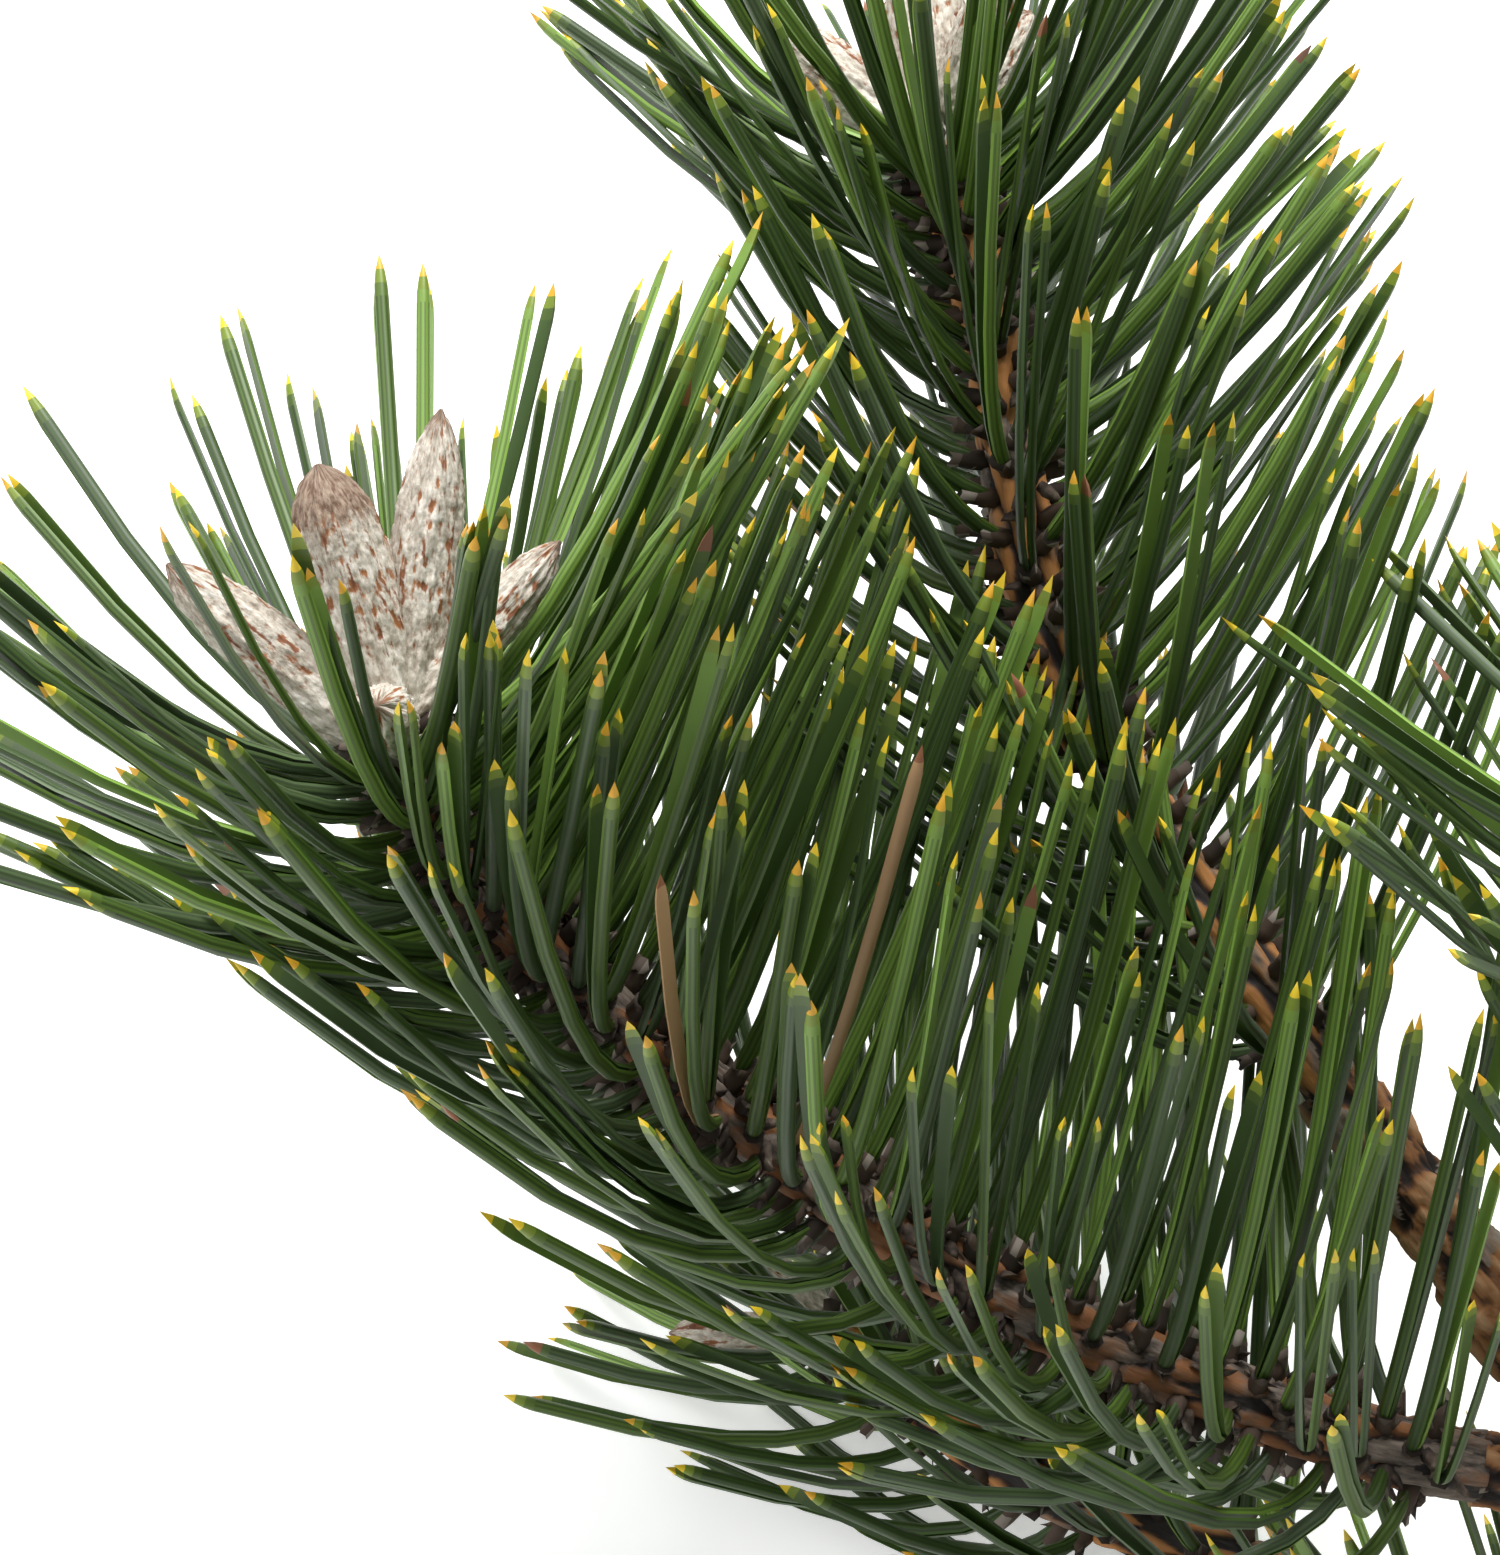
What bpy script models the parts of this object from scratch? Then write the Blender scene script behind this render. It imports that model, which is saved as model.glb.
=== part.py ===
"""A cut branch of Austrian pine, lying on its lowest needles and on its cut end.

One main stem forks into six shoots. A shoot is a bare bough, then a mass of needles fused
on one stem, then a cluster of resting buds. The main stem itself carries the leading
shoot's mass. Each of them is one closed solid, and neighbours stay a hair's breadth clear.
Lengths are in metres, +Z is up, and the origin lies under the middle of the branch.
"""

import math
import random
from collections import namedtuple

import bmesh
import bpy
import numpy as np

MM = 0.001
CLEARANCE = 0.3 * MM
SEED = 1907

# The whorl is the knot where the shoots part, and every route is measured from it
WHORL = MM * np.array([39.81, -39.94, 59.72])
UP = np.array([0.0, 0.0, 1.0])
LEVEL = np.array([1.0, 0.0, 0.0])
# A tube that starts steeper than this rise in its run takes its sides from the level
STEEP = 0.9
# Needles grow turned a little towards where the light came from
LIGHT = np.array([0.50, 0.75, 0.433])

# Wood
CUT_RADIUS = 6.8 * MM
KNOT_RADIUS = 7.4 * MM
LEADER_RADIUS = 4.6 * MM
BOUGH_RADIUS = 4.6 * MM
SHOOT_RADIUS = 4.3 * MM
SHOOT_TIP_RADIUS = 3.5 * MM
KNOT_SPREAD = 16 * MM
STEM_SIDES = 12
BOUGH_SIDES = 10
SHOOT_SIDES = 9
RING_STEP = 9 * MM
ROUTE_STEPS = 40
# A shoot ends in a dome: how far past its end, and how wide, as shares of its radius
DOME = ((0.45, 0.86), (0.72, 0.50))
SMOOTH_ANGLE = math.radians(40)

# Needles: each solid stands for the pair of needles that leaves one sheath
NEEDLE_LENGTH = 62 * MM
NEEDLE_VARIES = 0.10
NEEDLE_RADIUS = 1.1 * MM
NEEDLE_RADII = (NEEDLE_RADIUS, NEEDLE_RADIUS, 0.4 * MM)
NEEDLE_SINK = 2.2 * MM
NEEDLE_KNEE = 0.34
NEEDLE_BEND = 0.30
NEEDLE_STEPS = 12
GOLDEN_ANGLE = math.pi * (3 - math.sqrt(5))
LEAVING_ANGLE = math.radians(80)
NARROWER = (1.0, 0.8, 1.2, 0.62, 0.46)
SPACE_MARGIN = 2.6 * MM
TOUCH_MARGIN = 1.6 * MM
BARE_FOOT = 3 * MM
# The last needles close round the buds, over a stretch at the tip, and reach on past it
TIP_STRETCH = 20 * MM
TIP_CLOSING = 0.30
TIP_REACH = 35 * MM
TIP_REACH_POINTS = 5
TURN_VARIES = 0.25
# Over this stretch at the tip the needles fan out evenly, with less lean
FAN_STRETCH = 45 * MM
FAN_EVENS = 0.65
SPREAD_VARIES = 6
FLOOR_DRIFT = 0.25 * MM
# A needle may touch its neighbours' space or a limb only from these steps outwards
FREE_STEP = 3
SPACE_STEP = 4

# Resting buds
BUD_SIDES = 8
BUD_AXIS_POINTS = 12
BUD_FOOT_OUT = 0.75
BUD_FOOT_TILT = 30
BUD_PROFILE = ((0.0, 0.62), (0.16, 0.90), (0.42, 1.0), (0.68, 0.86), (0.86, 0.50), (1.0, 0.0))

Route = namedtuple("Route", "points along")
Shoot = namedtuple("Shoot", "route bare needles spread lean flush buds")
Bud = namedtuple("Bud", "length width tilt turn")


def unit(vector):
    return vector / np.linalg.norm(vector)


def smooth_route(*stations):
    """A smooth curve through a few stations, given in millimetres from the whorl."""
    knots = [WHORL + MM * np.array(station, float) for station in stations]
    knots = [2 * knots[0] - knots[1], *knots, 2 * knots[-1] - knots[-2]]
    points = []
    for before, start, end, after in zip(knots, knots[1:], knots[2:], knots[3:]):
        for t in np.linspace(0, 1, ROUTE_STEPS, endpoint=False):
            swing = (2 * before - 5 * start + 4 * end - after) * t**2
            sway = (3 * start - before - 3 * end + after) * t**3
            points.append(0.5 * (2 * start + (end - before) * t + swing + sway))
    points = np.array([*points, knots[-2]])
    steps = np.linalg.norm(np.diff(points, axis=0), axis=1)
    return Route(points, np.concatenate([[0], np.cumsum(steps)]))


def place(route, distance):
    """The point at this distance along a route, and the direction that it runs in."""
    point = np.array([np.interp(distance, route.along, axis) for axis in route.points.T])
    ahead = np.array([np.interp(distance + MM, route.along, axis) for axis in route.points.T])
    behind = np.array([np.interp(distance - MM, route.along, axis) for axis in route.points.T])
    return point, unit(ahead - behind)


# Where each limb runs, from its foot to its tip
MAIN_STEM = smooth_route(
    (68, -76, -53), (36, -38, -40), (0, 0, 0), (-17.6, 20.5, 10.1), (-35.1, 41.9, 19.6)
)
# The buds' lengths and widths are in millimetres, and their tilts and turns in degrees
SHOOTS = {
    "a": Shoot(
        route=smooth_route(
            (0, 0, 0), (-33.6, 5, 5.2), (-72.6, 16.2, 18.6), (-103.2, 31.5, 34.4), (-124.8, 45.4, 49.4),
            (-132.9, 51.7, 57.9), (-138.2, 59.4, 67.9),
        ),
        bare=20 * MM,
        needles=150,
        spread=58,
        lean=0.9,
        flush=1.0,
        buds=(
            Bud(25.0, 9.0, 11, 332),
            Bud(24.0, 7.2, 29, 224),
            Bud(29.0, 7.4, 33, 356),
            Bud(21.0, 5.8, 66, 10),
            Bud(11.0, 6.8, 59, 104),
        ),
    ),
    "b": Shoot(
        route=smooth_route(
            (-35.1, 41.9, 19.6), (-54.5, 66.2, 31.3), (-67.3, 90.6, 43), (-72.8, 118.1, 56.6),
            (-79.6, 139.9, 66.9),
        ),
        bare=0.0,
        needles=125,
        spread=54,
        lean=0.65,
        flush=0.85,
        buds=(
            Bud(24.0, 8.6, 12, 330),
            Bud(19.0, 7.2, 38, 200),
            Bud(17.0, 6.8, 56, 332),
            Bud(16.0, 6.0, 44, 40),
        ),
    ),
    "d": Shoot(
        route=smooth_route((0, 0, 0), (8.1, 10.3, 19.8), (11.2, 26.7, 45.4), (9.2, 41.9, 70.4)),
        bare=20 * MM,
        needles=62,
        spread=62,
        lean=0.5,
        flush=1.0,
        buds=(
            Bud(22.0, 8.2, 5, 90),
            Bud(17.0, 6.4, 32, 190),
            Bud(18.0, 6.6, 30, 320),
            Bud(14.0, 5.4, 34, 60),
        ),
    ),
    "e": Shoot(
        route=smooth_route((20, -21, -22), (-22, -3, -35), (-62, 17.1, -42.1), (-92.1, 37.3, -36.2)),
        bare=62 * MM,
        needles=42,
        spread=50,
        lean=0.8,
        flush=0.75,
        buds=(Bud(18.0, 6.8, 6, 90), Bud(13.0, 5.2, 33, 200)),
    ),
    "f": Shoot(
        route=smooth_route((36, -38, -40), (8, -40, -44), (-26, -40, -40)),
        bare=20 * MM,
        needles=48,
        spread=58,
        lean=0.6,
        flush=0.9,
        buds=(Bud(17.0, 6.6, 8, 60), Bud(13.0, 5.2, 33, 200)),
    ),
    "g": Shoot(
        route=smooth_route((0, 0, 0), (22, 16, -14), (42, 36, -21), (56, 56, -19)),
        bare=22 * MM,
        needles=55,
        spread=58,
        lean=0.5,
        flush=1.0,
        buds=(Bud(20.0, 7.4, 5, 90), Bud(15.0, 5.8, 33, 190), Bud(15.0, 6.0, 32, 340)),
    ),
}


def material(name, colour, roughness):
    made = bpy.data.materials.new(name)
    made.use_nodes = True
    shader = made.node_tree.nodes["Principled BSDF"]
    shader.inputs["Base Color"].default_value = (*colour, 1.0)
    shader.inputs["Roughness"].default_value = roughness
    shader.inputs["Metallic"].default_value = 0.0
    return made


def sweep(centres, radii, sides, runs=None):
    """The vertices and faces of a closed tube through the centres. A last radius of 0 makes a point."""
    centres = np.asarray(centres, float)
    if runs is None:
        runs = np.gradient(centres, axis=0)
    steep = abs(unit(runs[0])[2]) > STEEP
    across = unit(np.cross(runs[0], LEVEL if steep else UP))
    vertices, faces = [], []
    for centre, run, radius in zip(centres, runs, radii):
        run = unit(run)
        across = unit(across - run * (across @ run))
        beside = np.cross(run, across)
        if radius == 0:
            vertices.append(centre)
            break
        for side in range(sides):
            angle = 2 * math.pi * side / sides
            vertices.append(centre + radius * (math.cos(angle) * across + math.sin(angle) * beside))
    rings = len(vertices) // sides
    faces.append(tuple(range(sides))[::-1])
    for low in range(0, (rings - 1) * sides, sides):
        for side in range(sides):
            turned = (side + 1) % sides
            faces.append((low + side, low + turned, low + sides + turned, low + sides + side))
    last = (rings - 1) * sides
    if len(vertices) > rings * sides:
        faces += [(last + side, last + (side + 1) % sides, last + sides) for side in range(sides)]
    else:
        faces.append(tuple(last + side for side in range(sides)))
    return vertices, faces


def new_object(name, vertices, faces, surface=None, collection=None):
    mesh = bpy.data.meshes.new(name)
    mesh.from_pydata([tuple(vertex) for vertex in vertices], [], faces)
    if surface:
        mesh.materials.append(surface)
    made = bpy.data.objects.new(name, mesh)
    (collection or bpy.context.scene.collection).objects.link(made)
    return made


def limb_tube(route, start, stop, radius_at, sides, rounded=False):
    """A tapering limb along part of a route. radius_at gives its radius at a distance along it."""
    count = max(2, 1 + round((stop - start) / RING_STEP))
    stations = list(np.linspace(start, stop, count))
    radii = [radius_at(station) for station in stations]
    if rounded:
        end_radius = radii[-1]
        stations += [stop + ahead * end_radius for ahead, _ in DOME]
        radii += [width * end_radius for _, width in DOME]
    centres = [beyond(route, station) for station in stations]
    runs = [place(route, min(station, route.along[-1]))[1] for station in stations]
    return sweep(centres, radii, sides, runs)


def beyond(route, distance):
    """The point at this distance along a route, straight on past its end."""
    point, run = place(route, min(distance, route.along[-1]))
    return point + run * max(0.0, distance - route.along[-1])


def stem_radius(distance):
    """The main stem tapers from its cut to its leader, and swells where the whorl parts."""
    length = MAIN_STEM.along[-1]
    taper = CUT_RADIUS + (LEADER_RADIUS - CUT_RADIUS) * distance / length
    from_knot = (distance - knot_distance()) / KNOT_SPREAD
    return max(taper, taper + (KNOT_RADIUS - taper) * math.exp(-(from_knot**2)))


def knot_distance():
    nearest = np.linalg.norm(MAIN_STEM.points - WHORL, axis=1).argmin()
    return MAIN_STEM.along[nearest]


def bough_radius(shoot, distance):
    return BOUGH_RADIUS + (SHOOT_RADIUS - BOUGH_RADIUS) * min(1.0, distance / max(shoot.bare, MM))


def shoot_radius(shoot, distance):
    share = (distance - shoot.bare) / (shoot.route.along[-1] - shoot.bare)
    return SHOOT_RADIUS + (SHOOT_TIP_RADIUS - SHOOT_RADIUS) * max(0.0, share)


def apply_modifiers(made):
    graph = bpy.context.evaluated_depsgraph_get()
    mesh = bpy.data.meshes.new_from_object(made.evaluated_get(graph))
    made.modifiers.clear()
    old = made.data
    made.data = mesh
    mesh.name = made.name
    bpy.data.meshes.remove(old)


def keep_outer_body(made):
    """Keeps the body with the most volume: what else a Boolean leaves is a scrap or a sealed hollow."""
    work = bmesh.new()
    work.from_mesh(made.data)
    bmesh.ops.triangulate(work, faces=work.faces)
    bodies, seen = [], set()
    for face in work.faces:
        if face in seen:
            continue
        seen.add(face)
        body, waiting = [], [face]
        while waiting:
            reached = waiting.pop()
            body.append(reached)
            for edge in reached.edges:
                for neighbour in edge.link_faces:
                    if neighbour not in seen:
                        seen.add(neighbour)
                        waiting.append(neighbour)
        bodies.append(body)
    bodies.sort(key=volume_of)
    scraps = [face for body in bodies[:-1] for face in body]
    bmesh.ops.delete(work, geom=scraps, context="FACES")
    work.to_mesh(made.data)
    work.free()


def volume_of(faces):
    total = 0.0
    for face in faces:
        first, second, third = (corner.co for corner in face.verts)
        total += first.dot(second.cross(third)) / 6
    return total


def boolean(made, operation, others):
    """Joins others to an object, or cuts them from it, as one Boolean on a collection."""
    group = bpy.data.collections.new(made.name + "_others")
    bpy.context.scene.collection.children.link(group)
    helpers = [new_object(f"other_{index}", *shape, collection=group) for index, shape in enumerate(others)]
    modifier = made.modifiers.new("boolean", "BOOLEAN")
    modifier.operation = operation
    modifier.operand_type = "COLLECTION"
    modifier.collection = group
    modifier.solver = "EXACT"
    bpy.context.view_layer.update()
    apply_modifiers(made)
    for helper in helpers:
        mesh = helper.data
        bpy.data.objects.remove(helper)
        bpy.data.meshes.remove(mesh)
    bpy.data.collections.remove(group)
    keep_outer_body(made)
    smooth(made)


def smooth(made):
    made.data.shade_smooth()
    made.data.set_sharp_from_angle(angle=SMOOTH_ANGLE)


def needle_route(root, along, out, length, spread, lean):
    """A needle leaves its shoot almost square, then bends towards the shoot's tip and the light."""
    leaving = unit(out * math.sin(LEAVING_ANGLE) + along * math.cos(LEAVING_ANGLE))
    ending = unit(out * math.sin(spread) + along * math.cos(spread) + LIGHT * lean)
    knee = root + leaving * length * NEEDLE_BEND
    tip = knee + ending * length * (1 - NEEDLE_BEND)
    share = np.linspace(0, 1, NEEDLE_STEPS + 1)[:, None]
    return (1 - share) ** 2 * root + 2 * share * (1 - share) * knee + share**2 * tip


def lay_on_floor(points, along, height):
    """Turns a needle that reaches the floor, so that the rest of it runs out along the floor."""
    laid = [points[0]]
    flat = np.array([1.0, 1.0, 0.0])
    for step in np.diff(points, axis=0):
        reached = laid[-1] + step
        if reached[2] < height:
            level = (step + along * FLOOR_DRIFT) * flat
            drop = min(0.0, height - laid[-1][2])
            sideways = math.sqrt(max(0.0, step @ step - drop**2))
            reached = laid[-1] + unit(level) * sideways
            reached[2] = height
        laid.append(reached)
    return np.array(laid)


def distances(points, axis_points):
    """The distance from each point to the nearest point of an axis."""
    return np.linalg.norm(points[:, None] - axis_points[None], axis=2).min(axis=1)


def needled_axis(shoot):
    """The axis that a shoot's needles stand round: it runs on past the tip, as the last needles do."""
    length = shoot.route.along[-1]
    shares = np.linspace(0, 1, TIP_REACH_POINTS + 1)[1:]
    ahead = [beyond(shoot.route, length + TIP_REACH * share) for share in shares]
    return np.vstack([shoot.route.points[shoot.route.along >= shoot.bare], ahead])


def keeps_clear(points, key, bud_axes):
    """True for a needle nearer to its own shoot than to any other, and clear of every limb and bud."""
    outer, free = points[SPACE_STEP:], points[FREE_STEP:]
    own = distances(outer, needled_axis(SHOOTS[key]))
    for other, shoot in SHOOTS.items():
        if other != key and (distances(outer, needled_axis(shoot)) < own + SPACE_MARGIN).any():
            return False
        bare = shoot.route.points[shoot.route.along < shoot.bare]
        tested = free if other == key else points
        if len(bare) and distances(tested, bare).min() < BOUGH_RADIUS + TOUCH_MARGIN:
            return False
    tested = points if SHOOTS[key].bare else free
    if distances(tested, MAIN_STEM.points).min() < KNOT_RADIUS + TOUCH_MARGIN:
        return False
    return all(distances(points, axis).min() > radius + TOUCH_MARGIN for axis, radius in bud_axes)


def needles_of(key, bud_axes):
    """The solids of one shoot's needles, set round it by the golden angle."""
    shoot = SHOOTS[key]
    draw = random.Random(SEED + ord(key))
    length_of_shoot = shoot.route.along[-1]
    first = shoot.bare + BARE_FOOT
    solids = []
    for index in range(shoot.needles):
        share = (index + 0.5) / shoot.needles
        distance = first + (length_of_shoot - first) * share
        centre, along = place(shoot.route, distance)
        side = unit(np.cross(along, UP))
        over = np.cross(side, along)
        angle = index * GOLDEN_ANGLE + draw.uniform(-TURN_VARIES, TURN_VARIES)
        out = math.cos(angle) * side + math.sin(angle) * over
        root = centre + out * (shoot_radius(shoot, distance) - NEEDLE_SINK)
        length = NEEDLE_LENGTH * shoot.flush * (1 + NEEDLE_VARIES * draw.uniform(-1, 1)) + NEEDLE_SINK
        near_tip = max(0.0, 1 - (length_of_shoot - distance) / TIP_STRETCH)
        fan = max(0.0, 1 - (length_of_shoot - distance) / FAN_STRETCH)
        lean = shoot.lean * (1 - FAN_EVENS * fan)
        closed = 1 - TIP_CLOSING * near_tip * draw.random()
        spread = math.radians(shoot.spread * closed + draw.uniform(-SPREAD_VARIES, SPREAD_VARIES))
        for narrower in NARROWER:
            points = needle_route(root, along, out, length, spread * narrower, lean)
            points = lay_on_floor(points, along, NEEDLE_RADIUS)
            if keeps_clear(points, key, bud_axes):
                knee = round(NEEDLE_KNEE * NEEDLE_STEPS)
                solids.append(sweep(points[[0, knee, -1]], NEEDLE_RADII, 3))
                break
    return solids


def bud_axis(shoot, bud):
    """The two ends of a bud's axis: it stands on the rounded tip of its shoot, tilted and turned about it."""
    end, along = place(shoot.route, shoot.route.along[-1])
    side = unit(np.cross(along, UP))
    over = np.cross(side, along)
    turn, tilt = math.radians(bud.turn), math.radians(bud.tilt)
    lean = math.cos(turn) * side + math.sin(turn) * over
    run = unit(along * math.cos(tilt) + lean * math.sin(tilt))
    foot = end + lean * SHOOT_TIP_RADIUS * min(BUD_FOOT_OUT, bud.tilt / BUD_FOOT_TILT)
    return foot, foot + run * (bud.length * MM + SHOOT_TIP_RADIUS)


def bud_shape(shoot, bud, swell=0.0):
    foot, tip = bud_axis(shoot, bud)
    heights = np.array([height for height, _ in BUD_PROFILE])[:, None]
    radii = [width * bud.width * MM / 2 + (swell if width else 0) for _, width in BUD_PROFILE]
    if swell:
        tip = tip + unit(tip - foot) * 2 * swell
    return sweep(foot + heights * (tip - foot), radii, BUD_SIDES)


def build_main_stem(bark):
    end = MAIN_STEM.along[-1]
    smooth(new_object("main_stem", *limb_tube(MAIN_STEM, 0, end, stem_radius, STEM_SIDES), surface=bark))
    return limb_tube(MAIN_STEM, 0, end, lambda at: stem_radius(at) + CLEARANCE, STEM_SIDES)


def build_boughs(bark, stem_cutter):
    """The bare boughs. Each starts inside the knot and is cut clear of the stem and of the boughs before it."""
    cutters = [stem_cutter]
    for key, shoot in SHOOTS.items():
        if not shoot.bare:
            continue
        bough = limb_tube(shoot.route, 0, shoot.bare, lambda at: bough_radius(shoot, at), BOUGH_SIDES)
        boolean(new_object(f"bough_{key}", *bough, surface=bark), "DIFFERENCE", cutters)
        end = shoot.bare + CLEARANCE
        fat_bough = limb_tube(
            shoot.route, 0, end, lambda at: bough_radius(shoot, at) + CLEARANCE, BOUGH_SIDES
        )
        cutters.append(fat_bough)


def build_buds(key, resin):
    """One shoot's buds, cut clear of its dome and of the buds before them. Returns their axes and radii."""
    shoot = SHOOTS[key]
    end = shoot.route.along[-1] + CLEARANCE
    dome = limb_tube(
        shoot.route, shoot.bare, end, lambda at: shoot_radius(shoot, at) + CLEARANCE, SHOOT_SIDES, rounded=True
    )
    cutters, axes = [dome], []
    for number, bud in enumerate(shoot.buds, 1):
        made = new_object(f"bud_{key}{number}", *bud_shape(shoot, bud), surface=resin)
        boolean(made, "DIFFERENCE", cutters)
        cutters.append(bud_shape(shoot, bud, swell=CLEARANCE))
        axes.append((np.linspace(*bud_axis(shoot, bud), BUD_AXIS_POINTS), bud.width * MM / 2))
    return axes


def build_mass(key, green, bud_axes):
    """The mass of one shoot: its needles fused on its stem, which ends just clear of the bough."""
    shoot = SHOOTS[key]
    start, end = shoot.bare + CLEARANCE, shoot.route.along[-1]
    stem = limb_tube(shoot.route, start, end, lambda at: shoot_radius(shoot, at), SHOOT_SIDES, rounded=True)
    boolean(new_object(f"shoot_{key}", *stem, surface=green), "UNION", needles_of(key, bud_axes))


def build():
    for old in list(bpy.data.objects):
        bpy.data.objects.remove(old)
    bark = material("flaky_bark", (0.20, 0.10, 0.05), 0.9)
    green = material("pine_needles", (0.05, 0.12, 0.04), 0.5)
    resin = material("resinous_buds", (0.50, 0.42, 0.34), 0.8)
    build_boughs(bark, build_main_stem(bark))
    for key in SHOOTS:
        build_mass(key, green, build_buds(key, resin))


build()
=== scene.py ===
"""The looks of a cut branch of Austrian pine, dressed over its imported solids.

The needles grow by the solids' own rule, in pairs from papery sheaths and much denser. The old
wood, the young stems and the resting buds are relief meshes along the solids' own routes.
Lengths are in metres, +Z is up, and everything lies in the solids' frame.
"""

import math
from collections import namedtuple

import bpy
import numpy as np
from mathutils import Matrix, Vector, noise


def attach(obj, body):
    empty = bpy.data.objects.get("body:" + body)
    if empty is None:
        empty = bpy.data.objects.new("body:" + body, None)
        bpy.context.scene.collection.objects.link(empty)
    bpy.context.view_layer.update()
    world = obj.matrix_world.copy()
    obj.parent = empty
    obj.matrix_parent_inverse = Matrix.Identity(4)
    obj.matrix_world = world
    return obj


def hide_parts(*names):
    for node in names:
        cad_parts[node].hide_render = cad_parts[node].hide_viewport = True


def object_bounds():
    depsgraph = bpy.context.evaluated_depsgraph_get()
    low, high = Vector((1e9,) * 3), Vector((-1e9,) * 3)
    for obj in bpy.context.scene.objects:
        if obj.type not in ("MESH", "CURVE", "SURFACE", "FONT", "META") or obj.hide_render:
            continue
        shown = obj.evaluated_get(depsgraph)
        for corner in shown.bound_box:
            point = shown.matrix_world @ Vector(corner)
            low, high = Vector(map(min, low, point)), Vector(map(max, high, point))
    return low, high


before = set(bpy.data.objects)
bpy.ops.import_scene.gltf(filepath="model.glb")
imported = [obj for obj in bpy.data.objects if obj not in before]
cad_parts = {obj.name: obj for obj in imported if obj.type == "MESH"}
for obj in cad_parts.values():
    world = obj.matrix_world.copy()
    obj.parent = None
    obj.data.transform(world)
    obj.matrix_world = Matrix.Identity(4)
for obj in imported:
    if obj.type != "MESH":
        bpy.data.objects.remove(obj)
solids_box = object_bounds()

MM = 0.001
SEED = 1907
TURN = 2 * math.pi
GOLDEN_ANGLE = math.pi * (3 - math.sqrt(5))

# The whorl is the knot where the shoots part, and every route is measured from it
WHORL = MM * np.array([39.81, -39.94, 59.72])
UP = np.array([0.0, 0.0, 1.0])
# Needles grow turned a little towards where the light came from
LIGHT = np.array([0.50, 0.75, 0.433])

# Wood, as in the solids
CUT_RADIUS = 6.8 * MM
KNOT_RADIUS = 7.4 * MM
LEADER_RADIUS = 4.6 * MM
BOUGH_RADIUS = 4.6 * MM
SHOOT_RADIUS = 4.3 * MM
SHOOT_TIP_RADIUS = 3.5 * MM
KNOT_SPREAD = 16 * MM
ROUTE_STEPS = 40

# How the needles stand, by the solids' rule
NEEDLE_LENGTH = 62 * MM
NEEDLE_VARIES = 0.10
NEEDLE_SINK = 2.2 * MM
NEEDLE_BEND = 0.30
NEEDLE_STEPS = 24
LEAVING_ANGLE = math.radians(80)
# Each try at a needle that has to keep clear: a share of its spread and a share of its lean
TRIES = (
    (1.0, 1.0), (1.0, 0.3), (1.2, 0.3), (0.8, 1.0), (1.4, 0.0), (1.6, 0.0), (0.62, 1.0), (0.46, 1.0)
)
TOUCH_MARGIN = 1.0 * MM
# Buds are slimmer at their ends than where their width is measured
BUD_MARGIN = -0.7 * MM
BARE_FOOT = 3 * MM
# Over this stretch before its tip a shoot's needles close in on it, by up to this share
TIP_STRETCH = 20 * MM
TIP_CLOSING = 0.60
# Over this stretch their lean fades, by this share at the tip, which evens out the fan
FAN_STRETCH = 45 * MM
FAN_EVENS = 0.65
# How much closer together the sheaths stand at a shoot's tip than at its foot
CROWDING = 0.60
TURN_VARIES = 0.25
SPREAD_VARIES = math.radians(6)
# How high the line of a needle stays, and how far each step along the floor drifts to the tip
FLOOR_HEIGHT = 0.9 * MM
FLOOR_DRIFT = 0.25 * MM
# The share of a needle, from its root, that may touch the limb that it grows on
FREE_SHARE = 0.25
# Limbs are tested at every fifth point of their routes, and buds at this many points
ROUTE_STRIDE = 5
BUD_TESTS = 12
# How far past the solids' box a needle may reach, as a share of each side
SAME_REACH = 0.02
SOLIDS_BOX = np.array([list(corner) for corner in solids_box])

# One needle: half round, its flat side to its twin, with a shallow groove down that side
NEEDLE_HALF_WIDTH = 0.88 * MM
NEEDLE_THICKNESS = 0.90 * MM
NEEDLE_GROOVE = 0.14
NEEDLE_ARC = np.radians([180, 158, 138, 118, 100, 80, 62, 42, 22, 0])
NEEDLE_RINGS = np.array([0.0, 0.09, 0.19, 0.30, 0.43, 0.58, 0.76, 0.945, 0.962, 0.979])
NEEDLE_WIDTHS = np.array([0.72, 0.86, 1.0, 1.0, 1.0, 0.98, 0.96, 0.92, 0.84, 0.60])
PAIR_GAP = 0.06 * MM
# How far a needle parts from its twin in degrees, how much lengths and sizes vary, and the twist
GAPE = (0.2, 3.0)
TWIN_LENGTHS = (0.96, 1.04)
NEEDLE_SIZES = (0.92, 1.08)
TWIST = 0.7

# The sheath that holds a pair together
SHEATH_LENGTH = 4.2 * MM
SHEATH_SIDES = 8
SHEATH_RINGS = np.array([0.0, 0.35, 0.72, 1.0])
SHEATH_RADII = MM * np.array([1.22, 1.14, 1.06, 1.10])
SHEATH_RAGGED = 0.9 * MM
SHEATH_LENGTHS = (0.8, 1.15)
SHEATH_UNEVEN = (0.88, 1.12)
SHEATH_SINK = 1.0 * MM
# Where the floor of its mouth is, as a share of its length
SHEATH_MOUTH = 0.72

# The grids that the relief of the wood and the buds is made on
YOUNG_CELL = 0.34 * MM
OLD_CELL = 0.44 * MM
BUD_CELL = 0.26 * MM
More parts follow.
